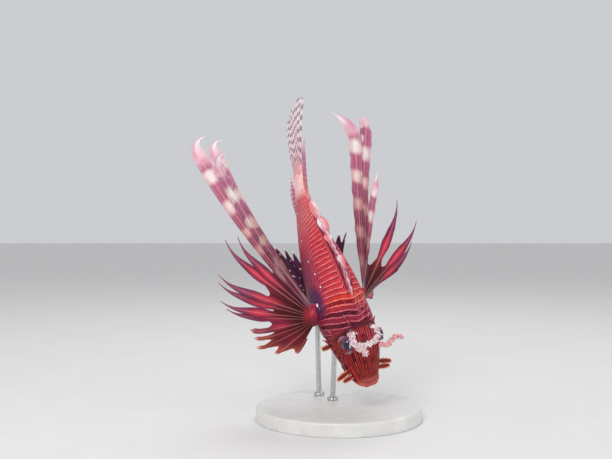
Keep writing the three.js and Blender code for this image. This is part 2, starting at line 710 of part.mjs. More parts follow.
// A straight rod from the base to the belly, cut to the body's shape
function standRod({ foot, share, aside }, matrix, room) {
  const belly = new THREE.Vector3(-share, 0, bellyLine(share)).multiplyScalar(LENGTH);
  belly.y += aside;
  belly.z += ROD.sunk;
  const top = belly.applyMatrix4(matrix);
  const bottom = new THREE.Vector3(foot[0], foot[1], BASE.height + GAP);
  const ring = (centre) => Array.from({ length: ROD.sides }, (_, k) => {
    const turn = 2 * Math.PI * k / ROD.sides;
    const spoke = new THREE.Vector3(Math.cos(turn), Math.sin(turn), 0);
    return spoke.multiplyScalar(ROD.radius).add(centre);
  });
  return largest(loft([ring(bottom), ring(top)]).subtract(room));
}

function addPiece(group, name, body, finish) {
  const geometry = placed(body, new THREE.Matrix4());
  geometry.computeVertexNormals();
  const piece = new THREE.Mesh(geometry, new THREE.MeshStandardMaterial(FINISHES[finish]));
  piece.name = name;
  group.add(piece);
}

const matrix = fishMatrix();
const room = bodyRoom(GAP);
const fish = new THREE.Group();
fish.applyMatrix4(matrix);

const { head, lower_jaw } = headSolids();
const spiny = largest(spinyDorsal().subtract(room));
addPiece(fish, 'head', head, 'skin');
addPiece(fish, 'lower_jaw', lower_jaw, 'skin');
addPiece(fish, 'trunk', loft(trunkRings(GAP + 0.1)), 'skin');
addPiece(fish, 'tail_stem', loft(stemRings(GAP)), 'skin');
addPiece(fish, 'dorsal_fin_spiny', spiny, 'fin');
addPiece(fish, 'dorsal_fin_soft', largest(softDorsal().subtract(room)), 'fin');
addPiece(fish, 'anal_fin', largest(analFin().subtract(room)), 'fin');
addPiece(fish, 'caudal_fin', largest(caudalFin().subtract(room)), 'fin');
for (const [name, side] of [['left', 1], ['right', -1]]) {
  const crestRoom = ridgeAlong(side, CREST, GAP);
  const horn = tentacle(side, TENTACLES[name]).subtract(room).subtract(crestRoom);
  const pelvic = pelvicFin(side, PELVIC_TURNS[name]).subtract(room);
  const pectoral = pectoralFin(side, FANS[name]).subtract(room).subtract(gillCover(side, GAP));
  addPiece(fish, `eye_${name}`, ball(eyeCentre(side), EYE.radius, 16, 10), 'eye');
  addPiece(fish, `gill_cover_${name}`, gillCover(side), 'skin');
  addPiece(fish, `tentacle_${name}`, largest(horn), 'skin');
  addPiece(fish, `pelvic_fin_${name}`, largest(pelvic), 'fin');
  addPiece(fish, `pectoral_fin_${name}`, largest(pectoral), 'fin');
}

const stand = new THREE.Group();
const posedRoom = solid(placed(room, matrix));
addPiece(stand, 'stand_base', standBase(), 'base');
for (const [name, rod] of Object.entries(RODS)) {
  addPiece(stand, name, standRod(rod, matrix, posedRoom), 'rod');
}

const model = new THREE.Group();
model.add(fish, stand);

export default model;
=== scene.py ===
# Red lionfish, a life-size display model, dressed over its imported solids.
# The fish has a frame of its own: X forward, Y to its left, Z to its back, in millimetres, with the
# origin at the tip of its snout. A share is a part of the standard length, and an angle round the
# body is 0 on the right and 90 on the back. In up-angles both sides run alike, from -90 on the
# belly to 90 on the back.

import bpy
import numpy as np
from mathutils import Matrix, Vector


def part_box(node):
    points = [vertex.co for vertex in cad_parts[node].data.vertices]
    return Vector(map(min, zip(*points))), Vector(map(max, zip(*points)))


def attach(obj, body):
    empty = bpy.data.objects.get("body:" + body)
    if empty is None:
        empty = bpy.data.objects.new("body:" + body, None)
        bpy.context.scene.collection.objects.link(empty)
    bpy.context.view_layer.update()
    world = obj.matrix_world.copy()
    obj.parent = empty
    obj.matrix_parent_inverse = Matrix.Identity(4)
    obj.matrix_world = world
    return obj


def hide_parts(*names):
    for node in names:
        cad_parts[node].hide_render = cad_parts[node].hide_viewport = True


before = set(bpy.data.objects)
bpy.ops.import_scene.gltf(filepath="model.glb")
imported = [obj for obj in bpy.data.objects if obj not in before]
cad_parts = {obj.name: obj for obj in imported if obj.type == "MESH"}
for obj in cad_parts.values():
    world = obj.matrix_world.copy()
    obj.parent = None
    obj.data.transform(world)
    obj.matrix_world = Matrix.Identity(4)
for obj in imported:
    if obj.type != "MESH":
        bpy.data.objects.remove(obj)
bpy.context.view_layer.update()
draw = np.random.default_rng(11)

MM = 0.001

# The fish's pose, as in the solids
LENGTH = 165.0
TILT, PITCH, ROLL = 21.2, 12.0, 22.0
SNOUT = np.array([22.0, -22.0, 30.0])
BEND_START = 0.62
BEND_RADIUS = 285.0

# The camera, at the photograph's height and angle
CAMERA_PLACE = (-0.0245, -0.632, 0.1417)
CAMERA_WIDTH_DEGREES = 40.0
SENSOR_WIDTH = 36.0

# The studio: the place, size, power and colour of each light, what they aim at, and the backdrop
LIGHTS = {
    "key": ((-0.35, -0.9, 0.75), 0.45, 5.5, (1, 1, 1)),
    "fill": ((0.9, -0.7, 0.35), 0.7, 1.6, (0.93, 0.95, 1)),
    "top": ((0.1, 0.5, 1.1), 0.6, 3.5, (1, 1, 1)),
}
LIGHT_AIM = (0, 0, 0.13)
BACKDROP, BACKDROP_STRENGTH = (0.86, 0.87, 0.9, 1), 0.7
FLOOR_REACH = 8

# The mouth, the eyes and the gill covers, with places on the skin as share and up-angle
SKIN_COLUMNS = 432
EYE = np.array([-0.19, 0.06, 0.08]) * LENGTH
EYE_RADIUS, EYE_STEPS = 5.7, 72
EYE_LIFT = np.array([0.2, 1.3, 3.0])
GAZE = np.array([0.27, 0.53, 0.8])
SOCKET_RIM = 7.3
MOUTH_TIP, MOUTH_CORNER, MOUTH_DROP = 0.004, 0.125, 0.062
NOSE_REACH = 1.5
CREST_LINE = [[0.222, 64], [0.205, 61], [0.185, 60], [0.174, 62], [0.166, 67], [0.16, 73], [0.156, 81],
              [0.155, 90]]
CHEEK_LINE = [[0.09, 10], [0.13, 6], [0.17, 2], [0.21, 0], [0.25, -2]]
GILL_FOLD = [[0.23, -4], [0.248, -18], [0.252, -34], [0.24, -48], [0.215, -58]]
NAPE_LINE = [[0.252, 66], [0.275, 64], [0.3, 61]]
NOSTRIL = [0.092, 72]
THORNS = [[0.235, -12], [0.24, -26], [0.235, -40], [0.255, 22], [0.265, 66], [0.29, 62]]
THORN_LENGTH, THORN_RADIUS, THORN_LEAN = 5.0, 0.8, 50

# Leaves of skin by share, up-angle and length, and the brow tentacles by side, share, up-angle,
# heading, length, sag and paleness
LIP_FLAPS = [[0.08, -2, 11], [0.055, 4, 9], [0.215, -20, 6]]
FLAP_WIDTH, FLAP_ROOT = 5.4, 1.2
TENTACLES = {
    "left": (1, 0.145, 58, (0.13, 1, 0.14), 19, 2.2, 1.3),
    "right": (-1, 0.165, 62, (0.74, 0.62, 0.04), 10, -0.8, 4.0),
}

# Fins, with lengths as shares and angles in degrees
SPINY_START, SPINY_END, SPINES = 0.35, 0.765, 13
SPINY_CLEAR, SPINY_RISE, SPINY_LEAN, SPINY_STAGGER = 3.0, 2.2, 0.3, 0.7
# The fleshy tips that show, by spine: width, middle and reach along the spine
SPINE_TIPS = {0: (4.5, 0.9, 0.12), 1: (6.5, 0.93, 0.07), 2: (8.0, 0.88, 0.11), 3: (6.0, 0.87, 0.13)}
HIDDEN_TIP = (2.6, 0.92, 0.05)
SOFT_DORSAL, ANAL = (0.845, 0.93), (0.71, 0.86)
PELVIC_RAYS, PELVIC_LENGTH, PELVIC_ROOT, PELVIC_DOTS = 6, 0.45, 0.37, 26
PELVIC_TURNS = {"left": (7, 29), "right": (-3, 20)}
PECTORAL_RAYS, LONG_RAYS, FRONT_RAYS = 14, 3, 9

# The stand's rods: foot on the base, share and aside where they meet the belly; and their sizes
RODS = {"front": ((-4, 18), 0.3, 0), "rear": ((-14, 36), 0.6, 3)}
ROD_RADIUS, ROD_SINK = 2.0, 2.0

# Colours, as they are seen
COLOURS = {
    "flank": (206, 58, 72), "flank_dark": (142, 32, 48), "flank_line": (240, 126, 128),
    "low": (146, 44, 76), "low_dark": (100, 32, 62), "low_line": (186, 90, 124),
    "belly": (190, 124, 140), "belly_dark": (142, 76, 100), "belly_line": (224, 178, 184),
    "shoulder": (214, 58, 50), "shoulder_dark": (128, 20, 30), "shoulder_line": (248, 140, 120),
    "nape": (140, 38, 60), "nape_dark": (76, 16, 34), "nape_line": (216, 104, 122),
    "stem": (255, 206, 200), "stem_dark": (226, 140, 148), "stem_line": (255, 244, 234),
    "snout": (146, 24, 36), "snout_dark": (54, 6, 18), "snout_line": (206, 84, 66),
    "white": (252, 246, 246), "blush": (244, 190, 200), "cream": (250, 208, 190),
    "orange": (178, 84, 58), "coral": (206, 84, 80), "salmon": (240, 142, 142),
    "ink": (14, 12, 32), "violet": (50, 26, 62), "lilac": (204, 130, 162), "mauve": (132, 62, 96),
    "smoke": (102, 44, 72), "bark": (50, 14, 24), "umber": (92, 30, 30), "ember": (222, 56, 74),
    "rose": (168, 44, 78), "wine": (132, 38, 62), "plum": (76, 30, 60), "brick": (150, 24, 36),
    "garnet": (92, 12, 26), "straw": (224, 180, 132), "dusk": (82, 38, 84),
}

# Colours of the materials alone, as the renderer's own linear values
PAINTS = {
    "dot": (0.93, 0.9, 0.92, 1), "dot_rim": (0.05, 0.012, 0.035, 1),
    "fin_shade": (0.72, 0.6, 0.68, 1), "frill_shade": (0.62, 0.36, 0.42, 1),
    "spine_shade": (0.6, 0.4, 0.45, 1), "pupil": (0.003, 0.004, 0.018, 1), "pupil_rim": (0.12, 0.08, 0.2, 1),
    "iris": (0.025, 0.008, 0.035, 1), "iris_blotch": (0.11, 0.035, 0.11, 1),
    "lid": (0.08, 0.01, 0.04, 1), "lid_blotch": (0.27, 0.1, 0.2, 1),
    "stone": (0.82, 0.81, 0.78, 1), "stone_dark": (0.72, 0.71, 0.68, 1), "stone_vein": (0.6, 0.59, 0.57, 1),
    "steel": (0.66, 0.66, 0.67, 1), "steel_dark": (0.5, 0.5, 0.51, 1),
    "paper": (0.8, 0.79, 0.78, 1), "paper_dark": (0.74, 0.73, 0.72, 1),
}


def smooth(share):
    t = np.clip(share, 0, 1)
    return t * t * (3 - 2 * t)


def bell(distance, reach):
    return np.exp(-((distance / reach) ** 2))


def mix(a, b, share):
    return a + (b - a) * share


def unit(vectors):
    return vectors / np.linalg.norm(vectors, axis=-1, keepdims=True)


def wave(turns):
    return np.sin(2 * np.pi * turns)


def points_at(x, y, z):
    return np.stack(np.broadcast_arrays(x, y, z), -1)


def heading_along(path):
    return unit(np.gradient(path, axis=0))


def through(keys):
    """A smooth line through keys of place and height"""
    x, y = np.array(keys, float).T
    steps = np.diff(y) / np.diff(x)
    slopes = (np.append(steps[0], steps) + np.append(steps, steps[-1])) / 2

    def line(place):
        place = np.asarray(place, float)
        k = np.clip(np.searchsorted(x, place) - 1, 0, len(x) - 2)
        wide = x[k + 1] - x[k]
        t = (place - x[k]) / wide
        near = (2 * t**3 - 3 * t**2 + 1) * y[k] + (t**3 - 2 * t**2 + t) * wide * slopes[k]
        return near + (3 * t**2 - 2 * t**3) * y[k + 1] + (t**3 - t**2) * wide * slopes[k + 1]

    return line


# Outline of the body: back, belly and half width, each as shares of the length
back_line = through([[0, 0.012], [0.04, 0.045], [0.08, 0.078], [0.12, 0.108], [0.16, 0.128],
                     [0.2, 0.138], [0.26, 0.146], [0.32, 0.16], [0.38, 0.172], [0.46, 0.176],
                     [0.56, 0.164], [0.68, 0.134], [0.8, 0.096], [0.9, 0.066], [1, 0.052]])
belly_line = through([[0, -0.012], [0.04, -0.052], [0.08, -0.078], [0.14, -0.105], [0.2, -0.128],
                      [0.28, -0.152], [0.36, -0.168], [0.46, -0.172], [0.56, -0.162],
                      [0.68, -0.132], [0.8, -0.09], [0.9, -0.06], [1, -0.048]])
side_line = through([[0, 0.03], [0.015, 0.046], [0.04, 0.06], [0.08, 0.076], [0.14, 0.094],
                     [0.2, 0.106], [0.28, 0.116], [0.36, 0.118], [0.44, 0.11], [0.54, 0.094],
                     [0.66, 0.07], [0.78, 0.048], [0.88, 0.031], [0.96, 0.02], [1, 0.015]])
spiny_lengths = through([[0, 0.21], [0.083, 0.285], [0.167, 0.345], [0.25, 0.4], [0.333, 0.31],
                         [0.5, 0.24], [0.667, 0.18], [0.833, 0.12], [1, 0.06]])
web_shares = through([[0, 0.3], [2, 0.3], [3, 0.5], [6, 0.46], [8, 0.56], [9, 0.74], [10, 0.84],
                      [13, 0.95]])
# The lines' spacing in millimetres by share
line_pitch = through([[-0.3, 4.0], [0.25, 4.0], [0.34, 4.0], [0.45, 4.1], [0.65, 3.5], [0.9, 2.8],
                      [1.5, 2.8]])
# The line that the white dots on the flank follow, the dots, and the spots near each pectoral root by
# share, up-angle and size
lateral_line = through([[0.38, 33], [0.46, 28], [0.53, 22], [0.6, 11], [0.7, 0], [0.78, -9], [0.9, -8]])
DOT_SHARES = [0.4625, 0.5275, 0.595, 0.7, 0.775, 0.83, 0.875]
DOT_SIZE = 0.72
AXIL_SPOTS = [[0.3975, 8, 1.5], [0.42, -8, 0.5], [0.432, -20, 0.55], [0.447, -30, 0.5],
              [0.462, -33, 0.45], [0.41, -20, 0.5], [0.385, 20, 0.35], [0.38, 12, 0.4]]

# Each ray of a pectoral fan by its number: its length, the way it heads, how far it drops under
# the fan's level, how far it bows and curls on its way, where the curl starts and how soon it is
# done, and its width; and the pale bands of the long rays by distance from the root in millimetres
FAN_KEYS = {
    "left": {
        "length": [[0, 0.95], [1, 1.07], [2, 0.64], [3, 0.56], [5, 0.57], [8, 0.43], [10, 0.36],
                   [12, 0.21], [13, 0.15]],
        "angle": [[0, 20], [1, 24], [2, 30], [3, 50], [4, 65], [5, 72.5], [6, 84], [9, 107], [13, 135]],
        "drop": [[0, 10], [3, 10], [5, 26], [6, 58], [8, 76], [13, 86]],
        "bow": [[0, -6], [2, -6], [3, 9], [4, 9], [13, 9]],
        "curl": [[0, 76], [1, 190], [2, 0], [3, 20], [4, 20], [13, 20]],
        "late": [[0, 0.74], [1, 0.82], [2, 0.74], [13, 0.74]],
        "quick": [[0, 1], [1, 0.36], [2, 1], [13, 1]],
        "width": [[0, 14], [1, 14], [2, 7.5], [3, 8], [4, 8], [8, 7], [9, 4], [13, 3]],
        "bands": [[0, 1.2], [19, 2], [43, 3], [66.5, 4], [90, 5], [116.5, 6], [150, 7], [180, 7.8]],
    },
    "right": {
        "length": [[0, 0.87], [1, 0.94], [2, 1.01], [3, 0.48], [4, 0.52], [5, 0.46], [6, 0.45],
                   [7, 0.42], [8, 0.39], [9, 0.28], [11, 0.28], [12, 0.22], [13, 0.15]],
        "angle": [[0, 17], [1, 15.5], [2, 19], [3, 29], [4, 34], [5, 51], [6, 54.5], [7, 64],
                  [8, 67.5], [9, 83], [10, 90], [11, 98], [12, 111], [13, 132]],
        "drop": [[0, 22], [8, 26], [13, 30]],
        "bow": [[0, 16], [2, 16], [3, 9], [4, 9], [13, 9]],
        "curl": [[0, 100], [2, 100], [3, 20], [4, 20], [13, 20]],
        "late": [[0, 0.89], [2, 0.89], [3, 0.72], [4, 0.72], [13, 0.72]],
        "quick": [[0, 1], [13, 1]],
        "width": [[0, 10.5], [2, 12], [3, 8], [4, 8], [8, 7], [9, 4], [13, 3]],
        "bands": [[0, -2], [40, -0.9], [60, 0], [76, 1], [101, 2], [130, 3], [152, 4], [180, 4.6]],
    },
}
FANS = {side: {key: through(keys) for key, keys in fan.items()} for side, fan in FAN_KEYS.items()}
WEB_SPREADS = {"left": 0.8, "right": 1.0}


def body_point(share, degrees, grow=0.0):
    """A point on the skin's first form; grow moves it outward"""
    share, degrees = np.broadcast_arrays(np.asarray(share, float), np.asarray(degrees, float))
    back, belly = back_line(share) * LENGTH, belly_line(share) * LENGTH
    rise, across = np.sin(np.radians(degrees)), np.cos(np.radians(degrees))
    keel = 1 - 0.16 * smooth((share - 0.25) / 0.15) * rise
    brow = bell(degrees - 58, 15) + bell(122 - degrees, 15)
    bump = bell(share - 0.18, 0.055) * (0.018 * brow - 0.014 * bell(degrees - 90, 15)) * LENGTH
    width = (side_line(share) * LENGTH + grow) * keel + bump
    depth = (back - belly) / 2 + grow + bump
    return np.stack([-share * LENGTH, -width * across, (back + belly) / 2 + depth * rise], -1)


def side_point(side, share, up, grow=0.0):
    """A point on one side of the skin by its up-angle; side is 1 on the left"""
    return body_point(share, up, grow) * [1, -side, 1]


def bend(points):
    """The tail swings to the fish's left on an arc"""
    past = np.maximum(-points[..., 0] - BEND_START * LENGTH, 0)
    turn = past / BEND_RADIUS
    arm = BEND_RADIUS - points[..., 1]
    swung = np.stack([-BEND_START * LENGTH - arm * np.sin(turn), BEND_RADIUS - arm * np.cos(turn),
                      points[..., 2]], -1)
    return np.where(past[..., None] > 0, swung, points)


def fish_axes():
    tilt, pitch, roll = np.radians([TILT, PITCH, ROLL])
    forward = np.array([np.sin(tilt) * np.cos(pitch), -np.sin(pitch), -np.cos(tilt) * np.cos(pitch)])
    level = unit(np.array([0.0, -1.0, 0.0]) + forward * forward[1])
    up = np.cos(roll) * level - np.sin(roll) * np.cross(forward, level)
    return np.stack([forward, np.cross(up, forward), up])


AXES = fish_axes()


def posed(points):
    """Points of the fish's frame in the stand's, in millimetres"""
    return points @ AXES + SNOUT


def bent(points):
    return posed(bend(points))


def standing(points):
    return points


class Shape:
    """Points, faces and named values at the points, gathered from many pieces"""

    def __init__(self):
        self.points, self.faces, self.values, self.count = [], [], {}, 0

    def add(self, points, faces, **values):
        points = points.reshape(-1, 3)
        self.points.append(points)
        self.faces.extend((face + self.count).tolist() for face in faces)
        for name, value in values.items():
            self.values.setdefault(name, []).append((self.count, value.reshape(len(points), -1)))
        self.count += len(points)

    def value(self, name):
        """A value at every point, 0 on pieces without it"""
        pieces = self.values[name]
        field = np.zeros((self.count, pieces[0][1].shape[1]))
        for start, value in pieces:
            field[start:start + len(value)] = value
        return field


def build(name, shape, material, replaced=(), place=bent):
    points = place(np.concatenate(shape.points))
    mesh = bpy.data.meshes.new(name)
    mesh.from_pydata((points * MM).tolist(), [], [face for part in shape.faces for face in part])
    for key in sorted(shape.values):
        value = shape.value(key)
        if value.shape[1] == 3:
            layer = mesh.attributes.new(key, "FLOAT_COLOR", "POINT")
            value = np.concatenate([value, np.ones((len(value), 1))], axis=1)
            layer.data.foreach_set("color", value.astype(np.float32).ravel())
        else:
            layer = mesh.attributes.new(key, "FLOAT", "POINT")
            layer.data.foreach_set("value", value.astype(np.float32).ravel())
    mesh.shade_smooth()
    mesh.materials.append(material)
    piece = bpy.data.objects.new(name, mesh)
    bpy.context.scene.collection.objects.link(piece)
    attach(piece, "root")
    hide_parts(*replaced)


def colour(name):
    """A named colour as the renderer's own linear values"""
    share = np.array(COLOURS[name]) / 255
    return np.where(share < 0.04045, share / 12.92, ((share + 0.055) / 1.055) ** 2.4)


def blend(first, second, share):
    return mix(colour(first), colour(second), share)


def over(tint, *layers):
    """A tint with named colours laid over it, each by a weight at each point"""
    for name, weight in layers:
        tint = tint + (colour(name) - tint) * np.clip(weight, 0, 1)[..., None]
    return tint


def tinted(size, name, *layers):
    return over(np.broadcast_to(colour(name), (*size, 3)), *layers)


def quads(rows, columns, closed=False):
    index = np.arange(rows * columns).reshape(rows, columns)
    if closed:
        index = np.concatenate([index, index[:, :1]], axis=1)
    return np.stack([index[:-1, :-1], index[:-1, 1:], index[1:, 1:], index[1:, :-1]], -1).reshape(-1, 4)


def ring_faces(rows, sides):
    """Faces of a closed body made of rings, with the middles of its two ends after the rings"""
    ring = np.arange(sides)
    after = np.roll(ring, -1)
    last = (rows - 1) * sides
    near = np.stack([np.full(sides, rows * sides), after, ring], -1)
    far = np.stack([np.full(sides, rows * sides + 1), ring + last, after + last], -1)
    return [quads(rows, sides, True), near, far]


def turned(faces):
    return [face[:, ::-1] for face in faces]


def sheet(shape, middle, half, tint, across):
    """A closed thin body about a grid of points, half as thick on each of its sides"""
    rows, columns = middle.shape[:2]
    normal = unit(np.cross(np.gradient(middle, axis=1), np.gradient(middle, axis=0)))
    offset = normal * np.broadcast_to(half, (rows, columns))[..., None]
    count = rows * columns
    top = quads(rows, columns)
    index = np.arange(count).reshape(rows, columns)
    rim = np.concatenate([index[0, :-1], index[:-1, -1], index[-1, :0:-1], index[:0:-1, 0]])
    ahead = np.roll(rim, -1)
    edge = np.stack([ahead, rim, rim + count, ahead + count], -1)
    across = np.broadcast_to(across, (rows, columns))
    shape.add(np.stack([middle + offset, middle - offset]), [top, top[:, ::-1] + count, edge],
              tint=np.stack([tint, tint]), across=np.stack([across, across]))


def tube(shape, path, radii, sides=8, flat=1.0, **values):
    """A closed tube along points, flattened across its level, with a value for each point or for all"""
    ahead = heading_along(path)
    level = np.cross(np.array([0.0, 0.0, 1.0]), ahead)
    level = unit(np.where(np.linalg.norm(level, axis=1, keepdims=True) < 0.05, [0.0, 1.0, 0.1], level))
    upright = np.cross(ahead, level) * flat
    turn = np.linspace(0, 2 * np.pi, sides, endpoint=False)
    rings = path[:, None] + radii[:, None, None] * (level[:, None] * np.cos(turn)[:, None]
                                                    + upright[:, None] * np.sin(turn)[:, None])
    rows = len(path)
    spread = {}
    for key, value in values.items():
        value = np.broadcast_to(value, (rows, 3))
        spread[key] = np.concatenate([np.repeat(value, sides, axis=0), value[:1], value[-1:]])
    points = np.concatenate([rings.reshape(-1, 3), path[:1], path[-1:]])
    shape.add(points, ring_faces(rows, sides), **spread)


class Finish:
    """A material made of nodes; glow is how far each colour of light runs under its surface"""

    def __init__(self, name, glow=None, **settings):
        self.material = bpy.data.materials.new(name)
        self.material.use_nodes = True
        self.tree = self.material.node_tree
        self.shader = self.tree.nodes["Principled BSDF"]
        for socket, value in settings.items():
            self.shader.inputs[socket.replace("_", " ")].default_value = value
        if glow:
            self.shader.inputs["Subsurface Radius"].default_value = glow
            self.shader.inputs["Subsurface Scale"].default_value = 1.0
        self.place = self.node("TexCoord", out="Object")

    def node(self, kind, inputs=(), out=0, **settings):
        node = self.tree.nodes.new("ShaderNode" + kind)
        for key, value in settings.items():
            setattr(node, key, value)
        for socket, value in dict(inputs).items():
            self.feed(node.inputs[socket], value)
        return node.outputs[out]

    def feed(self, socket, value):
        if isinstance(value, bpy.types.NodeSocket):
            self.tree.links.new(value, socket)
        else:
            socket.default_value = value

    def set(self, socket, value):
        self.feed(self.shader.inputs[socket], value)

    def attribute(self, name, out="Fac"):
        return self.node("Attribute", out=out, attribute_name=name)

    def math(self, operation, a, b=0.0):
        return self.node("Math", {0: a, 1: b}, operation=operation)

    def mixed(self, share, a, b, blend="MIX"):
        node = self.tree.nodes.new("ShaderNodeMix")
        node.data_type, node.blend_type = "RGBA", blend
        for socket, value in zip((0, 6, 7), (share, a, b)):
            self.feed(node.inputs[socket], value)
        return node.outputs[2]

    def shaded(self, tint, paint):
        return self.mixed(1.0, tint, PAINTS[paint], "MULTIPLY")

    def ramp(self, value, low, high, start=0.0, end=1.0):
        return self.node("MapRange", {0: value, 1: low, 2: high, 3: start, 4: end},
                         interpolation_type="SMOOTHSTEP")

    def noise(self, size, detail=3.0, roughness=0.55):
        """Noise whose grains are about a size in millimetres"""
        return self.node("TexNoise", {"Vector": self.place, "Scale": 1 / (size * MM),
                                      "Detail": detail, "Roughness": roughness})

    def shift(self, size, amount):
        """Noise that moves a value either way"""
        return self.math("MULTIPLY", self.math("SUBTRACT", self.noise(size), 0.5), amount)

    def bump(self, height, strength, deep):
        return self.node("Bump", {"Height": height, "Strength": strength, "Distance": deep * MM})


def skin_finish():
    """Thin pale lines at the whole numbers of the line value, each with a dark edge on its side
    towards the head or, where pairs is 1, with bars that are bright and dark by turns between them,
    and a pale net, small specks and white spots"""
    f = Finish("lionfish_skin", (0.0012, 0.0005, 0.0004), Roughness=0.42, Subsurface_Weight=0.06,
               Specular_IOR_Level=0.12)
    ground, bars, lines = (f.attribute(name, "Color") for name in ("ground", "bars", "lines"))
    line = f.math("ADD", f.attribute("line"), f.math("ADD", f.shift(9, 0.55), f.shift(2.4, 0.3)))
    width = f.ramp(f.noise(5), 0.3, 0.7, 0.07, 0.15)
    near = f.math("DIVIDE", f.math("PINGPONG", line, 0.5), width)
    thin = f.math("SUBTRACT", 1.0, f.ramp(near, 0.55, 1.25))
    edge = f.math("MULTIPLY", f.ramp(f.math("FRACT", line), 0.5, 0.72),
                  f.ramp(f.noise(4, 4), 0.25, 0.6, 0.45, 1.0))
    turn = f.ramp(f.math("PINGPONG", f.math("SUBTRACT", line, 0.5), 1.0), 0.3, 0.7)
    dark = f.mixed(f.attribute("pairs"), edge, turn)
    cloud = f.ramp(f.noise(3.2, 4), 0.4, 0.72, 0.0, 0.45)
    worn = f.math("MULTIPLY", dark, f.ramp(f.noise(2.6, 5), 0.25, 0.6, 0.55, 1.0))
    flat = f.mixed(f.math("MAXIMUM", worn, cloud), bars, ground)
    strong = f.math("MULTIPLY", thin, f.attribute("strength"))
    cell = f.node("TexVoronoi", {"Vector": f.place, "Scale": 1 / (4.2 * MM)}, feature="DISTANCE_TO_EDGE")
    net = f.math("MULTIPLY", f.ramp(cell, 0.02, 0.14, 1.0, 0.0), f.attribute("net"))
    lined = f.mixed(f.math("MAXIMUM", strong, net), flat, lines)
    specked = f.mixed(f.ramp(f.noise(0.9, 2), 0.64, 0.74, 0.0, 0.35), lined, lines)
    spot = f.attribute("spot")
    ringed = f.mixed(f.ramp(spot, 1.1, 2.6, 0.55, 0.0), specked, PAINTS["dot_rim"])
    f.set("Base Color", f.mixed(f.ramp(spot, 0.8, 1.15, 1.0, 0.0), ringed, PAINTS["dot"]))
    f.set("Roughness", f.ramp(f.noise(1.6), 0.3, 0.7, 0.36, 0.52))
    grain = f.math("ADD", f.math("MULTIPLY", f.noise(0.55, 4), 0.6), f.math("MULTIPLY", strong, 0.5))
    f.set("Normal", f.bump(grain, 0.35, 0.25))
    return f.material


def fin_finish():
    """A thin, glassy membrane with fine streaks that run along its rays"""
    f = Finish("lionfish_fin", (0.003, 0.0016, 0.0016), Roughness=0.36, Subsurface_Weight=0.3,
               Specular_IOR_Level=0.14)
    place = f.math("ADD", f.attribute("across"), f.math("MULTIPLY", f.noise(7), 1.6))
    fine = f.ramp(f.math("PINGPONG", place, 0.5), 0.05, 0.4)
    tint = f.attribute("tint", "Color")
    dark = f.shaded(tint, "fin_shade")
    streaked = f.mixed(f.math("MULTIPLY", fine, f.ramp(f.noise(4), 0.35, 0.65, 0.1, 0.5)), tint, dark)
    f.set("Base Color", f.mixed(f.ramp(f.noise(6, 4), 0.35, 0.75, 0.0, 0.3), streaked, dark))
    f.set("Roughness", f.ramp(f.noise(2), 0.3, 0.7, 0.4, 0.56))
    f.set("Normal", f.bump(f.math("ADD", fine, f.noise(1.2, 4)), 0.25, 0.2))
    return f.material


def frill_finish():
    f = Finish("lionfish_frill", (0.0015, 0.0008, 0.0008), Roughness=0.45, Subsurface_Weight=0.2,
               Specular_IOR_Level=0.25)
    tint = f.attribute("tint", "Color")
    blotch = f.ramp(f.noise(1.3), 0.42, 0.7, 0.0, 0.6)
    f.set("Base Color", f.mixed(blotch, tint, f.shaded(tint, "frill_shade")))
    f.set("Normal", f.bump(f.noise(0.5, 4), 0.3, 0.2))
    return f.material


def spine_finish():
    f = Finish("lionfish_spine", (0.001, 0.0006, 0.0006), Roughness=0.35, Subsurface_Weight=0.15,
               Specular_IOR_Level=0.3)
    tint = f.attribute("tint", "Color")
    blotch = f.ramp(f.noise(2.5), 0.4, 0.7, 0.0, 0.5)
    f.set("Base Color", f.mixed(blotch, tint, f.shaded(tint, "spine_shade")))
    f.set("Normal", f.bump(f.noise(0.6), 0.2, 0.15))
    return f.material


def eye_finish():
    """The pupil, iris and mottled outer ring, by the angle from the middle of the gaze"""
    f = Finish("lionfish_eye", Roughness=0.12, Coat_Weight=0.2, Coat_Roughness=0.03)
    off = f.math("ADD", f.attribute("off"), f.shift(1.6, 10))
    iris = f.mixed(f.ramp(f.noise(1.1, 4), 0.42, 0.6), PAINTS["iris"], PAINTS["iris_blotch"])
    lid = f.mixed(f.ramp(f.noise(1.3), 0.44, 0.58), PAINTS["lid"], PAINTS["lid_blotch"])
    edged = f.mixed(f.ramp(off, 44, 54), iris, lid)
    rim = f.mixed(f.ramp(off, 31, 37), PAINTS["pupil_rim"], edged)
    f.set("Base Color", f.mixed(f.ramp(off, 27, 31), PAINTS["pupil"], rim))
    return f.material


def stone_finish():
    f = Finish("stand_stone", Roughness=0.38, Coat_Weight=0.15, Coat_Roughness=0.2)
    vein = f.ramp(f.noise(22, 6, 0.62), 0.47, 0.53)
    cloud = f.mixed(f.ramp(f.noise(40, 5), 0.3, 0.7), PAINTS["stone_dark"], PAINTS["stone"])
    f.set("Base Color", f.mixed(f.math("MULTIPLY", vein, 0.35), cloud, PAINTS["stone_vein"]))
    f.set("Roughness", f.ramp(f.noise(3), 0.3, 0.7, 0.3, 0.42))
    f.set("Normal", f.bump(f.noise(1.2, 5), 0.08, 0.2))
    return f.material


def steel_finish():
    f = Finish("stand_steel", Roughness=0.28, Metallic=1.0)
    f.set("Base Color", f.mixed(f.noise(4), PAINTS["steel_dark"], PAINTS["steel"]))
    f.set("Roughness", f.ramp(f.noise(1.5, 4), 0.3, 0.7, 0.22, 0.36))
    f.set("Normal", f.bump(f.noise(0.8, 4), 0.1, 0.1))
    return f.material


def paper_finish():
    f = Finish("floor_paper", Roughness=0.75)
    f.set("Base Color", f.mixed(f.noise(60, 4), PAINTS["paper_dark"], PAINTS["paper"]))
    return f.material


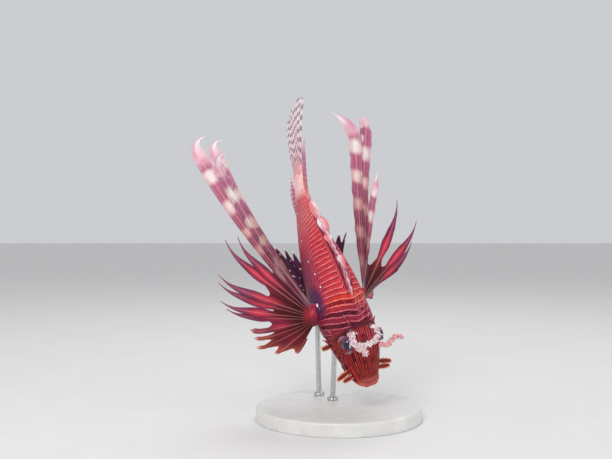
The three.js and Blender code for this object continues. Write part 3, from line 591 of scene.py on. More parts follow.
def along_skin(keys, count=40):
    """Points along a line on the left skin, through keys of share and up-angle"""
    place = np.arange(len(keys))
    at = np.linspace(0, len(keys) - 1, count)
    share, up = (through(np.stack([place, key], -1))(at) for key in np.array(keys, float).T)
    return side_point(1, share, up)


def nearness(folded, keys):
    """The distance of each point to a line on the skin, and how far along the line it is"""
    line = along_skin(keys)
    best = np.full(folded.shape[:-1], 1e9)
    place = np.zeros(folded.shape[:-1])
    for k, point in enumerate(line):
        distance = np.linalg.norm(folded - point, axis=-1)
        place = np.where(distance < best, k / (len(line) - 1), place)
        best = np.minimum(best, distance)
    return best, place


def away(folded, share, up):
    """The distance of each point to a place on the skin"""
    return np.linalg.norm(folded - side_point(1, share, up), axis=-1)


def scale_relief(along, round_):
    """Rows of overlapping round scales, each a little deeper at its rear edge"""
    pitch, wide, radius, thick = 2.3, 2.1, 1.45, 0.13
    relief = np.zeros(np.broadcast(along, round_).shape)
    covered = relief > 0
    for back in (2, 1, 0):
        row = np.floor(along / pitch) - back
        stagger = np.mod(row, 2) / 2
        middle = (np.round(round_ / wide - stagger) + stagger) * wide
        behind = along - row * pitch
        reach = np.hypot(behind / 1.35, round_ - middle)
        inside = (reach < radius * 1.2) & ~covered & (behind > 0)
        height = thick * (behind / (radius * 1.6)) * smooth((radius * 1.2 - reach) / 0.3)
        relief = np.where(inside, height, relief)
        covered = covered | inside
    return relief


def gill_edge(up):
    b = (up + 16) / 44
    return 0.392 - 0.025 * b**2 - 0.05 * (1 - b) / 2


def skin_relief(share, up, folded, girth):
    """How deep the finished skin lies under its first form; where it is below 0, it stands out"""
    height = 0
    crest, place = nearness(folded, CREST_LINE)
    height += 1.5 * bell(crest, 1.5) * (1 - 0.5 * place)
    cheek, place = nearness(folded, CHEEK_LINE)
    height += bell(cheek, 1.2) * (0.8 + 0.3 * np.sin(place * 40))
    height += 0.8 * bell(nearness(folded, GILL_FOLD)[0], 1.1)
    nape, place = nearness(folded, NAPE_LINE)
    height += 1.1 * bell(nape, 1.3) * np.sin(np.pi * np.clip(place, 0.05, 0.95))
    cover = smooth((share - 0.29) / 0.07) * smooth((38 - up) / 10) * smooth((up + 72) / 14)
    height += cover * (1.5 * (share < gill_edge(up)) * smooth((gill_edge(up) - share) / 0.012 + 0.4))
    slope = MOUTH_DROP / MOUTH_CORNER
    off_mouth = folded[..., 2] - (MOUTH_TIP - slope * share) * LENGTH
    mouth = 1 - smooth((share - 0.11) / 0.02)
    height += mouth * (bell(np.abs(off_mouth) - 1.7, 1.1) - 1.3 * bell(off_mouth, 0.5))
    eye = np.linalg.norm(folded - EYE, axis=-1)
    height += 0.9 * bell(eye - SOCKET_RIM, 0.9) - 3.2 * smooth((6.5 - eye) / 0.8)
    nostril = away(folded, *NOSTRIL)
    height += 1.0 * bell(nostril - 1.25, 0.45) - 1.0 * bell(nostril, 0.7)
    height += 1.3 * bell(away(folded, 0.37, -14), 7)
    clothed = smooth((share - 0.2) / 0.08) * (1 - 0.7 * smooth((share - 0.95) / 0.05))
    return height + clothed * scale_relief(share * LENGTH, girth)


def line_value(share, up, folded):
    """Where each point lies among the skin's lines, counted in lines"""
    front = 1 - smooth((share - 0.3) / 0.2)
    tailward = smooth((share - 0.6) / 0.2)
    hook = -0.05 * smooth((up - 72) / 16) * smooth((share - 0.38) / 0.08) * (1 - 0.7 * tailward)
    sweep = 0.24 * smooth((32 - up) / 75) * (1 - 0.6 * tailward) * smooth((share - 0.33) / 0.1)
    lean = 0.00055 * (up - 60) * front + 0.0006 * np.minimum(60 - up, 60) * tailward
    places = np.linspace(-0.3, 1.5, 400)
    steps = np.cumsum(LENGTH * (places[1] - places[0]) / line_pitch(places))
    trunk = np.interp(share + hook + sweep + lean, places, steps)
    lengthwise = (90 - up) / 5.2
    reach = folded - EYE
    spoke = np.degrees(np.arctan2(-reach[..., 2], reach[..., 0])) / 11
    head = mix(spoke, lengthwise, smooth((up - 25) / 25))
    return mix(head, trunk, smooth((share - 0.232) / 0.016))


def skin_regions(share, up):
    """How far each point of the skin belongs to each region, in the order they are laid"""
    belly = smooth((-50 - up) / 25)
    return [
        ("low", smooth((46 - up) / 44) * (1 - 0.75 * smooth((share - 0.54) / 0.18))),
        ("belly", belly),
        ("nape", smooth((0.37 - share) / 0.03) * (1 - 0.5 * belly)),
        ("shoulder", bell(share - 0.372, 0.032) * smooth((up - 22) / 22) * smooth((0.43 - share) / 0.04)),
        ("stem", np.maximum(smooth((share - 0.86) / 0.08), 0.14 * smooth((share - 0.66) / 0.14))),
        ("snout", 1 - smooth((share - 0.232) / 0.02)),
    ]


def skin_fields(share, degrees, up, folded):
    """The colours of the lines and of the bright bars and dark ground between them, and where the
    lines, the net and the pairs of bars show"""
    band = through([[-90, 0.2], [20, 0.222], [49, 0.2325], [64, 0.2425], [78, 0.245], [90, 0.2435]])
    net = 0.55 * smooth((share - 0.26) / 0.02) * smooth((0.4 - share) / 0.04) * smooth((degrees - 84) / 14)
    net = net * smooth((150 - degrees) / 20)
    dark = bell(share - band(up), 0.011) * smooth((up - 5) / 25)
    crest = bell(nearness(folded, CREST_LINE)[0], 1.7)
    eye = np.linalg.norm(folded - EYE, axis=-1)
    between = bell(share - 0.178, 0.05) * bell(90 - up, 16)
    oval = np.hypot((share - 0.172) / 0.036, (90 - up) / 11)
    off_lips = np.abs(folded[..., 2] - (MOUTH_TIP - 0.5 * share) * LENGTH)
    lips = (1 - smooth((share - 0.012) / 0.025)) * smooth((8 - off_lips) / 3)
    axil = smooth((15 - away(folded, 0.41, 2)) / 8)
    ridge = bell(up - 82.5, 2.2) * smooth((share - 0.36) / 0.05) * smooth((0.9 - share) / 0.1)
    fields = {}
    for key, ending in (("ground", "_dark"), ("bars", ""), ("lines", "_line")):
        pale = key == "lines"
        tint = tinted(share.shape, "flank" + ending)
        tint = over(tint, *[(region + ending, weight) for region, weight in skin_regions(share, up)])
        fields[key] = over(tint,
                           ("wine" if pale else "bark", 0.75 * dark),
                           ("salmon" if pale else "rose", 0.6 * between),
                           ("coral" if pale else "garnet", smooth((1.15 - oval) / 0.3)),
                           ("blush", 0.9 * crest),
                           ("orange", 0.4 * lips),
                           ("salmon", 0.2 * lips),
                           ("dusk", 0.9 * axil),
                           ("plum", 0.85 * ridge),
                           ("blush", 0.5 * bell(eye - 7.2, 0.7)))
    strength = mix(0.85, 0.3, smooth((36 - up) / 50))
    fields["strength"] = strength * ((1 - 0.8 * dark) * (1 - 0.7 * crest) * (1 - axil) * (1 - 0.8 * ridge))
    fields["pairs"] = smooth((0.4 - share) / 0.04) * (1 - net)
    fields["net"] = net
    fields["line"] = line_value(share, up, folded)
    return fields


def spot_field(folded):
    """The distance to the nearest white spot, in sizes of that spot"""
    nearest = np.full(folded.shape[:-1], 9.0)
    dots = [[share, float(lateral_line(share)), DOT_SIZE] for share in DOT_SHARES]
    for share, up, size in dots + AXIL_SPOTS:
        nearest = np.minimum(nearest, away(folded, share, up) / size)
    return nearest


def skin_grid():
    """The skin's first form in rings from the lips to the stub under the tail fin, with the share
    and the angle of each point, and how far each ring has opened from the tip of the nose"""
    degrees = 90 + 360 * np.arange(SKIN_COLUMNS) / SKIN_COLUMNS
    degrees = np.where(degrees >= 270, degrees - 360, degrees)[None]
    nose = np.radians(np.linspace(4, 90, 14, endpoint=False))
    body = np.concatenate([np.arange(0, 0.3, 0.0019), np.linspace(0.3, 1, 330)])
    stub = np.linspace(0, 1, 12)[1:]
    share = np.concatenate([0 * nose, body, 0 * stub + 1])[:, None]
    open_ = np.concatenate([np.sin(nose), 0 * body + 1, 1 - 0.1 * stub])[:, None]
    narrow = np.concatenate([np.sin(nose), 0 * body + 1, 1 - 0.62 * smooth(stub)])[:, None]
    shift = np.concatenate([NOSE_REACH * np.cos(nose), 0 * body, -5.5 * stub])[:, None]
    grid = body_point(share, degrees)
    middle = (back_line(share) + belly_line(share))[..., None] / 2 * LENGTH * [0, 0, 1]
    grid = middle + (grid - middle) * points_at(1, narrow, open_) + points_at(shift, 0, 0)
    return grid, *np.broadcast_arrays(share, degrees), open_


def skin():
    """One skin from the lips to the root of the tail fin"""
    grid, share, degrees, open_ = skin_grid()
    up = np.where(degrees > 90, 180 - degrees, degrees)
    wrapped = np.concatenate([grid, grid[:, :1]], axis=1)
    arc = np.cumsum(np.linalg.norm(np.diff(wrapped, axis=1), axis=-1), axis=1)
    girth = np.minimum(arc, arc[:, -1:] - arc)
    folded = np.stack([grid[..., 0], np.abs(grid[..., 1]), grid[..., 2]], -1)
    step_round = (np.roll(grid, -1, axis=1) - np.roll(grid, 1, axis=1)) / 2
    # This normal points into the body, and so do the faces below
    normal = unit(np.cross(np.gradient(grid, axis=0), step_round))
    height = skin_relief(share, up, folded, girth) * np.where(share > 0, 1, open_)
    grid = grid + normal * height[..., None]
    fields = skin_fields(share, degrees, up, folded)
    fields["spot"] = spot_field(folded)

    def ended(field):
        """A field at the rings' points and at the middles of the two ends"""
        flat = field.reshape(grid.shape[0], SKIN_COLUMNS, -1)
        return np.concatenate([flat.reshape(-1, flat.shape[-1]), flat[0, :1], flat[-1, :1]])

    shape = Shape()
    points = np.concatenate([grid.reshape(-1, 3), grid[0].mean(0)[None], grid[-1].mean(0)[None]])
    shape.add(points, turned(ring_faces(grid.shape[0], SKIN_COLUMNS)),
              **{key: ended(field) for key, field in fields.items()})
    build("skin", shape, skin_finish(),
          ["head", "lower_jaw", "gill_cover_left", "gill_cover_right", "trunk", "tail_stem"])


def eyes(material):
    for name, side in (("left", 1), ("right", -1)):
        gaze = unit(GAZE * [1, side, 1])
        around = unit(np.cross(gaze, [0.0, 0.0, 1.0]))
        off = np.radians(np.linspace(0.5, 179.5, EYE_STEPS))[:, None]
        turn = np.linspace(0, 2 * np.pi, EYE_STEPS, endpoint=False)[None]
        ring = around * np.cos(turn)[..., None] + np.cross(gaze, around) * np.sin(turn)[..., None]
        lens = 1 + 0.035 * bell(np.degrees(off), 26)
        out = np.cos(off)[..., None] * gaze + np.sin(off)[..., None] * ring
        ball = out * (EYE_RADIUS * lens)[..., None] + (EYE + EYE_LIFT) * [1, side, 1]
        points = np.concatenate([ball.reshape(-1, 3), ball[0].mean(0)[None], ball[-1].mean(0)[None]])
        shape = Shape()
        shape.add(points, turned(ring_faces(EYE_STEPS, EYE_STEPS)),
                  off=np.append(np.repeat(np.degrees(off), EYE_STEPS), [0.0, 180.0]))
        build(f"eyeball_{name}", shape, material, [f"eye_{name}"])


def cirrus(shape, root, heading, length, radius, tint):
    """A small finger of skin, thickest below its tip"""
    path = root + heading * (np.linspace(0, 1, 6) * length)[:, None]
    tube(shape, path, radius * np.array([1.0, 0.85, 0.8, 0.85, 0.7, 0.2]), 6, tint=tint)


def skin_frame(side, share, up):
    """A point on the skin and the direction out of it"""
    point = side_point(side, share, up)
    out = side_point(side, share, up, 1.0) - point
    out[0] = 0
    return point, unit(out)


def crest_frills(shape):
    """The white fringe over each eye that meets in a curve on the snout"""
    count = 60
    step = np.linspace(0, 1, count)
    for side in (1, -1):
        path = along_skin(CREST_LINE, count) * [1, side, 1]
        out = unit((path - [0, 0, 4.0]) * [0, 1, 1])
        ahead = heading_along(path)
        core = mix(2.0, 1.2, step) * (1 + 0.12 * np.sin(40 * step)) * smooth(step / 0.06 + 0.2)
        tube(shape, path + out * 0.8, core, 10, tint=blend("blush", "wine", 0.3))
        for k, point in enumerate(path):
            across = np.cross(out[k], ahead[k])
            for _ in range(3):
                lean = draw.normal(0, 0.45)
                heading = unit(out[k] * 0.6 + ahead[k] * draw.uniform(0.2, 1.1) + across * lean)
                length = draw.uniform(2.1, 3.7) * (1 - 0.35 * step[k])
                base = point + out[k] * 1.6 + across * draw.normal(0, 1.3 - 0.5 * step[k]) - heading * 1.2
                tint = blend("white", "blush", draw.uniform(0, 1) ** 4)
                cirrus(shape, base, heading, length, draw.uniform(0.45, 0.65), tint)


def leaf(shape, root, heading, facing, length, lobes=6):
    """A leaf of skin with a toothed rim, dark along its middle and pale at its edge"""
    v = np.linspace(0, 1, 57)[:, None]
    u = np.linspace(-1, 1, 19)[None]
    across = unit(np.cross(facing, heading))
    teeth = 1 - 0.3 * np.abs(np.sin(np.pi * lobes * v)) ** 0.6
    outline = 0.35 + 0.65 * np.sin(np.pi * np.clip(0.12 + 0.8 * v, 0, 1))
    outline = FLAP_WIDTH / 2 * outline * teeth * smooth((1 - v) / 0.08 + 0.15)
    cup = 0.35 * np.sin(3 * np.pi * v) * u**2 + 0.25 * np.sin(2 * np.pi * v)
    grid = (root + heading * (v * length)[..., None] + across * (u * outline)[..., None]
            + facing * cup[..., None])
    tint = tinted(grid.shape[:2], "brick",
                  ("straw", smooth((np.abs(u) - 0.58) / 0.22)),
                  ("garnet", 0.6 * bell(u, 0.12)),
                  ("straw", smooth((v - 0.9) / 0.07)))
    sheet(shape, grid, 0.3 * (1.15 - u**2) + 0.12 * bell(u, 0.25), tint, 2 * u)


def flaps(shape):
    """The leaves of skin beside the mouth and on the cheek"""
    for side in (1, -1):
        for k, (share, up, length) in enumerate(LIP_FLAPS):
            point, out = skin_frame(side, share, up)
            heading = unit(out + np.array([0.3 - 0.12 * k, 0, 0]))
            leaf(shape, point - heading * FLAP_ROOT, heading, unit(np.array([0.25, 0.2 * side, 1.0])),
                 length + FLAP_ROOT)
            for _ in range(10):
                place = draw.uniform(0.15, 0.95)
                aside = draw.choice([-1, 1])
                edge = point + heading * place * length + unit(np.cross(out, heading)) * 0.4
                edge = edge + np.array([aside * 1.6, 0, 0]) * (0.9 - 0.3 * place)
                cirrus(shape, edge, unit(heading + np.array([aside * 1.2, 0, 0])), draw.uniform(0.8, 1.6),
                       0.26, colour("straw"))


def tentacle(name, side, share, up, heading, length, sag, pale, material):
    """A brow tentacle with cirri all round it; more of them are white the higher pale is"""
    point, out = skin_frame(side, share, up)
    v = np.linspace(0, 1, 90)
    path = point + out * 0.6 + unit(np.array(heading, float)) * (v * length)[:, None]
    path = path + np.array([1.0, 0, 0]) * (sag * wave(v))[:, None]
    shape = Shape()
    radius = mix(1.6, 1.15, v) * (1 + 0.14 * np.sin(9 * np.pi * v))
    tube(shape, path, radius * smooth((1 - v) / 0.05 + 0.3), 12, 0.8,
         tint=blend("salmon", "blush", min(1, pale / 4)))
    tangent = heading_along(path)
    for k in range(3, 88):
        one = unit(np.cross(tangent[k], [0.0, 0.0, 1.0]))
        two = np.cross(tangent[k], one)
        for _ in range(2):
            turn = draw.uniform(0, 2 * np.pi)
            around = one * np.cos(turn) + two * np.sin(turn) * 0.7
            heading = unit(around + tangent[k] * draw.uniform(-0.1, 0.6))
            tint = blend("white", "coral", draw.uniform(0, 1) ** pale)
            size = draw.uniform(1.2, 2.6) * (1 - 0.2 * v[k])
            cirrus(shape, path[k] + around * radius[k] * 0.6, heading, size, draw.uniform(0.24, 0.36), tint)
    build(f"tentacle_frill_{name}", shape, material, [f"tentacle_{name}"])


def head_thorns(material):
    shape = Shape()
    t = np.linspace(0, 1, 8)
    lean = np.radians(THORN_LEAN)
    for side in (1, -1):
        for share, up in THORNS:
            point, out = skin_frame(side, share, up)
            heading = out * np.cos(lean) - np.array([np.sin(lean), 0, 0])
            path = point - heading + heading * (t * THORN_LENGTH)[:, None]
            tube(shape, path, THORN_RADIUS * (1 - t) ** 0.8 + 0.05, 10,
                 tint=blend("nape", "salmon", smooth(t * 1.2 - 0.2)[:, None]))
    build("head_thorns", shape, material)


def spine_path(k, t):
    """Points of a spine laid back along the ridge, and its length in millimetres"""
    place = k / (SPINES - 1)
    length = float(spiny_lengths(place))
    share = mix(SPINY_START, SPINY_END, place) + length * t
    aside = SPINY_LEAN + (SPINY_STAGGER if k % 2 == 0 else -SPINY_STAGGER)
    lift = (SPINY_CLEAR + SPINY_RISE * (1 - place)) * smooth(1.5 * t)
    path = np.stack([-share * LENGTH, aside * smooth(3 * t), back_line(share) * LENGTH - 2 + lift], -1)
    return path, length * LENGTH


def spine_web(shape, k, path, run, bands, t):
    """A spine's strip of membrane, with its fleshy tip, whose white side is partly a painted highlight"""
    u = np.linspace(-1, 1, 15)[None]
    wide, middle, reach = SPINE_TIPS.get(k, HIDDEN_TIP)
    lobe = bell(t - middle, reach)
    strip = 2.0 + 1.6 * np.sin(np.pi * np.clip(0.1 + t, 0, 0.95))
    width = mix(strip, wide, lobe) * smooth((1 - t) / 0.05 + 0.1)
    sway = 0.5 * wave(run / 13 + 0.37 * k)
    t, run, bands, lobe, width, sway = (value[:, None] for value in (t, run, bands, lobe, width, sway))
    grid = (path + [0, 0, 0.25])[:, None] + points_at(0, u * width / 2, sway * u + 0.35 * u**2 * (1 + lobe))
    tone = tinted(grid.shape[:2], "wine",
                  ("rose", smooth((t - 0.1) / 0.4)),
                  ("blush", 0.8 * smooth((t - 0.35) / 0.4) * bell(np.abs(u) - 0.55, 0.3)),
                  ("plum", 0.5 * (bands * smooth((0.78 - t) / 0.15))),
                  # Salmon over each fleshy tip, with white on its side towards the middle of the back: the
                  # tips' pale colour, with the white partly a painted highlight
                  ("salmon", np.clip(1.2 * lobe, 0, 1)),
                  ("white", np.clip(0.8 * lobe, 0, 1) * smooth((0.5 - u * (-1) ** k) / 0.7)))
    half = (0.22 + 1.1 * lobe * smooth((1 - t) / 0.08)) * (1.08 - u**2) ** 0.5 + 0.05
    sheet(shape, grid, half, tone, 6 * u)


def folded_spines(spine, membrane):
    """Thirteen spines laid back along the ridge, over a low frill of membrane"""
    rods, webs = Shape(), Shape()
    t = np.linspace(0, 1, 70)
    for k in range(SPINES):
        path, length = spine_path(k, t)
        run = t * length
        bands = 0.5 + 0.5 * wave(run / 9.0)
        tint = blend("wine", "salmon", smooth(1.6 * t)[:, None])
        tint = mix(tint, colour("wine"), (0.35 * bands * smooth((0.8 - t) / 0.2))[:, None])
        tube(rods, path, mix(0.95, 0.22, t), 10, tint=tint)
        spine_web(webs, k, path, run, bands, t)
    v = np.linspace(0, 1, 16)[:, None]
    across = np.linspace(0, 1, 140)[None]
    share = mix(SPINY_START, SPINY_END, across)
    low = points_at(-share * LENGTH - 7.5 * v, 0.6 * np.sin(across * 80) * v,
                    back_line(share) * LENGTH - 2 + 6.0 * v)
    sheet(webs, low, mix(0.9, 0.2, v), tinted(low.shape[:2], "wine", ("blush", smooth(v))), across * 60)
    build("dorsal_spines", rods, spine)
    build("dorsal_membranes", webs, membrane, ["dorsal_fin_spiny"])


def ray_profile(at, v, split):
    """How near a point of a fin is to a ray, which forks past its middle"""
    off = np.abs(at - np.round(at))
    return bell(off - split * smooth((v - 0.4) / 0.6), 0.07)


def median_fin(name, rays, base, heading, length, root, paint, material, rows=80):
    """A fin on the middle line, from its root line to its ray tips"""
    u = np.linspace(0, 1, (rays - 1) * 9 + 1)[None]
    v = np.linspace(0, 1, rows)[:, None]
    edge = 1 - 0.09 * v * np.sin(np.pi * u * (rays - 1)) ** 2
    reach = length(u) * LENGTH * v * edge
    turn = np.radians(heading(u))
    grid = base(u) + points_at(-np.cos(turn) * reach, 0, np.sin(turn) * reach)
    at = u * (rays - 1)
    ray = ray_profile(at, v, 0.16)
    joints = 1 + 0.12 * wave(reach / 1.6)
    grid[..., 1] += 0.35 * wave(at) * v
    half = np.maximum(0.14 + 0.3 * ray * joints * (1 - 0.6 * v), mix(root, 0, smooth(v * 5)))
    shape = Shape()
    sheet(shape, grid, half, paint(at, v, reach, ray), at * 4)
    build(f"{name}_rays", shape, material, [name])


def dashes(at, reach, pitch, size):
    """Dark dashes along the rays, each row with a start of its own"""
    row = np.round(2 * at)
    start = 0.5 * row + 0.41 * np.sin(5.3 * row) + 0.3 * np.sin(2.9 * row)
    swing = np.cos(2 * np.pi * (reach * (1 + 0.12 * np.sin(3.7 * row)) / pitch + start))
    return smooth((swing - 1 + size) / 0.5) * bell(2 * at - row, 0.32)


def caudal_paint(at, v, reach, ray):
    return tinted(reach.shape, "blush",
                  ("white", 0.8 * smooth((v - 0.1) / 0.4) + 0.3 * ray),
                  ("salmon", 0.5 * (1 - smooth(v / 0.3))),
                  ("lilac", 0.4 * (1 - ray) * smooth((v - 0.1) / 0.3)),
                  ("ink", 0.9 * dashes(at, reach, 7.5, 1.15) * smooth((v - 0.02) / 0.22)))


def soft_paint(at, v, reach, ray):
    return tinted(reach.shape, "salmon",
                  ("lilac", smooth((v - 0.2) / 0.4)),
                  ("white", smooth((v - 0.66) / 0.3) * (0.55 + 0.45 * ray)),
                  ("plum", 0.8 * dashes(at, reach, 4.2, 0.8) * smooth((v - 0.1) / 0.2)))


def median_fins(material):
    def dorsal_base(u):
        share = mix(*SOFT_DORSAL, u)
        return points_at(-share * LENGTH, 0, back_line(share) * LENGTH - 2)

    def anal_base(u):
        share = mix(*ANAL, u)
        return points_at(-share * LENGTH, 0, belly_line(share) * LENGTH + 2)

    def caudal_base(u):
        return points_at(-LENGTH - 0.3, 0, mix(belly_line(1), back_line(1), u) * LENGTH * 0.92)

    median_fin("dorsal_fin_soft", 10, dorsal_base, lambda u: 17 + 0 * u,
               lambda u: 0.3 * (1 - 0.25 * u), 1.4, soft_paint, material)
    median_fin("anal_fin", 9, anal_base, lambda u: -17 + 0 * u,
               lambda u: 0.27 * (0.4 + 0.6 * smooth(3 * u)) * (1 - 0.2 * u), 1.4, soft_paint, material)
    median_fin("caudal_fin", 11, caudal_base, lambda u: mix(-18, 18, u),
               lambda u: 0.39 * (1 - 0.12 * (2 * u - 1) ** 2), 1.9, caudal_paint, material, rows=110)


def pelvic_dots(at, v):
    """White dots on the pelvic fin, most of them on its rays"""
    dots = np.zeros(np.broadcast(at, v).shape)
    for _ in range(PELVIC_DOTS):
        dot_at, dot_v = draw.uniform(0, PELVIC_RAYS - 1), draw.uniform(0.15, 0.92)
        dot_at = mix(dot_at, np.round(dot_at), 0.7)
        off = np.hypot((at - dot_at) * (1.5 + 6 * v), (v - dot_v) * PELVIC_LENGTH * LENGTH)
        dots = np.maximum(dots, smooth((draw.uniform(0.55, 1.0) - off) / 0.35))
    return dots


def pelvic_fin(name, side, inner, outer, material):
    u = np.linspace(0, 1, (PELVIC_RAYS - 1) * 13 + 1)[None]
    v = np.linspace(0, 1, 90)[:, None]
    at = u * (PELVIC_RAYS - 1)
    root = points_at(-PELVIC_ROOT * LENGTH, side * (5.5 + 3 * u), belly_line(PELVIC_ROOT) * LENGTH + 3)
    turn, drop = np.radians(mix(inner, outer, u)), np.radians(9)
    edge = 1 - 0.17 * v**2 * np.sin(np.pi * at) ** 2
    reach = PELVIC_LENGTH * LENGTH * (1 - 0.3 * (1 - u)) * v * edge
    heading = points_at(-np.cos(turn) * np.cos(drop), side * np.sin(turn) * np.cos(drop), -np.sin(drop))
    grid = root + heading * reach[..., None]
    grid[..., 2] += 0.9 * wave(at / 2) * v + 1.2 * np.sin(np.pi * u * 2.2) * v**2
    ray = ray_profile(at, v, 0.14)
    half = np.maximum(0.16 + 0.42 * ray * (1 - 0.5 * v), mix(1.2, 0, smooth(v * 5)))
    tint = tinted(reach.shape, "violet",
                  ("ink", 0.35),
                  ("wine", 0.5 * ray * (1 - 0.5 * v) + 0.4 * (1 - smooth(v / 0.25))),
                  ("white", pelvic_dots(at, v)),
                  ("white", smooth((v - 0.955) / 0.03) * bell(at - np.round(at), 0.2)))
    shape = Shape()
    sheet(shape, grid, half, tint, at * 5)
    build(f"{name}_rays", shape, material, [name])


def pectoral_root(side, share, out):
    """A ray's root, on the rim of the fleshy lobe"""
    along = mix(0.405, 0.335, share)
    height = mix(0.012, -0.105, share) * LENGTH
    back, belly = back_line(along) * LENGTH, belly_line(along) * LENGTH
    up = np.degrees(np.arcsin((height - (back + belly) / 2) / ((back - belly) / 2)))
    return side_point(side, along, up, out)


def pectoral_paths(side, fan, rays, count=160):
    """Points along each ray, and the direction out of the fan's plane at each"""
    drop = np.radians(fan["drop"](rays))
    outward = np.stack([0 * drop, side * np.cos(drop), -np.sin(drop)], -1)
    share = (np.arange(count) + 0.5) / count
    start = fan["late"](rays)[:, None]
    late = smooth((share - start) / ((1 - start) * fan["quick"](rays)[:, None]))
    turn = np.radians(fan["angle"](rays)[:, None] - fan["bow"](rays)[:, None] * share**2
                      - fan["curl"](rays)[:, None] * late)[..., None]
    step = (fan["length"](rays) * LENGTH / count)[:, None, None]
    moves = (outward[:, None] * np.sin(turn) - np.array([1.0, 0, 0]) * np.cos(turn)) * step
    start = pectoral_root(side, rays / (PECTORAL_RAYS - 1), 3.2)[:, None]
    paths = np.concatenate([start, start + np.cumsum(moves, axis=1)], axis=1)
    return paths, np.cross([-1.0, 0.0, 0.0], outward)


def path_point(paths, share):
    """Points of each path at shares along it; paths are (rays, steps, 3), shares (rows, rays)"""
    count = paths.shape[1] - 1
    place = np.clip(share, 0, 1) * count
    k = np.minimum(place.astype(int), count - 1)
    ray = np.arange(paths.shape[0])[None]
    return mix(paths[ray, k], paths[ray, k + 1], (place - k)[..., None])


def long_paint(place, far, u):
    """Cream bands where place is whole and mauve ones between, dim and brown near the root and
    white at the tip, with painted shade in lilac along one side of the tip"""
    bright = smooth(far * 1.5 - 0.2)
    band = smooth((np.cos(2 * np.pi * place) + 0.25) / 1.2)
    return tinted(np.broadcast(far, u).shape, "smoke",
                  ("lilac", bright * (0.6 + 0.25 * np.cos(7 * u))),
                  ("umber", 0.6 * (1 - bright) * bell(np.abs(u) - 0.7, 0.3)),
                  ("salmon", 0.5 * bell(u, 0.12) + 0.4 * bell(np.abs(u) - 0.5, 0.08)),
                  ("cream", band * (0.25 + 0.75 * bright) * (0.75 + 0.25 * np.cos(4 * u))),
                  ("white", 0.8 * band * smooth(bright * 1.6 - 0.7) * bell(u, 0.7)),
                  ("blush", 0.8 * smooth((far - 0.8) / 0.06)),
                  # Lilac along one side of each ribbon near its tip is painted shade
                  ("lilac", 0.6 * smooth((far - 0.84) / 0.05) * bell(u - 0.6, 0.35)),
                  ("white", smooth((far - 0.88) / 0.08) * bell(u + 0.2, 0.7)))


def short_paint(share, u, ray):
    """Red in the middle of the ray's length, mauve beyond it and dark at the root and edges"""
    low = smooth((ray - 8) / 2)
    middle = 0.5 + 0.05 * np.sin(2.1 * ray)
    red = bell(share - middle, 0.14) * (1 - 0.85 * low)
    return tinted(np.broadcast(share, u).shape, "bark",
                  ("umber", 0.6 * smooth((share - 0.1) / 0.2)),
                  ("rose", red),
                  ("ember", red * bell(u + 0.3 * np.sin(1.7 * ray), 0.5)),
                  ("mauve", smooth((share - middle - 0.08) / 0.16) * (1 - 0.8 * low)),
                  ("plum", 0.8 * smooth((share - 0.3) / 0.2) * bell(np.abs(u) - 0.9, 0.35) * (1 - low)),
                  ("smoke", 0.7 * smooth((share - 0.86) / 0.12)),
                  ("orange", 0.6 * low * smooth((share - 0.55) / 0.3)),
                  ("cream", 0.6 * low * smooth((share - 0.9) / 0.07)),
                  ("salmon", (0.6 - 0.2 * share) * bell(u, 0.13)))


def pectoral_web(shape, side, fan, spread):
    """The membrane between the rays' roots, scalloped from ray to ray"""
    at = np.linspace(0, PECTORAL_RAYS - 1, (PECTORAL_RAYS - 1) * 10 + 1)
    paths, _ = pectoral_paths(side, fan, at)
    v = np.linspace(0, 1, 60)[:, None]
    at = at[None]
    share = v * web_shares(at) * spread * (1 - 0.2 * v * np.sin(np.pi * at) ** 2)
    off = at - np.round(at)
    ray = bell(off, 0.1)
    long = 1 - smooth((at - 2.0) / 0.8)
    tint = over(short_paint(share, np.clip(1.9 * off, -1, 1), at),
                ("bark", 0.7 * bell(np.abs(off) - 0.5, 0.16) * smooth((9.5 - at) / 2)),
                ("orange", 0.7 * smooth((v - 0.88) / 0.1) * smooth((at - 8) / 2)),
                ("smoke", 0.8 * long),
                ("blush", 0.4 * long * ray),
                ("ember", 0.6 * (1 - smooth(v / 0.2)) * bell(at - 6, 4)))
    sheet(shape, path_point(paths, share), 0.2 + 0.5 * ray * (1 - 0.3 * v), tint, at * 5)


def pectoral_lobe(shape, side):
    """The fleshy lobe that carries the rays, red, with orange that is partly a painted highlight and a
    salmon spot of painted highlight
    """
    u = np.linspace(0, 1, 70)[None]
    v = np.linspace(0, 1, 24)[:, None]
    lobe = pectoral_root(side, mix(-0.04, 1.04, u) + 0 * v, mix(-3, 3.4, v))
    tint = tinted(lobe.shape[:2], "rose",
                  # Orange over the upper part is partly the lobe's colour and partly a painted highlight;
                  # the salmon spot on its outer face is a painted highlight
                  ("ember", bell(u - 0.3, 0.2) * smooth(v / 0.4)),
                  ("salmon", 0.7 * bell(v - 0.75, 0.15) * bell(u - 0.28, 0.13)),
                  ("nape_dark", 0.5 * smooth((u - 0.5) / 0.3)))
    sheet(shape, lobe, mix(2.4, 0.9, smooth(v)) * (1 - 0.5 * (2 * u - 1) ** 8), tint, 9 * u)


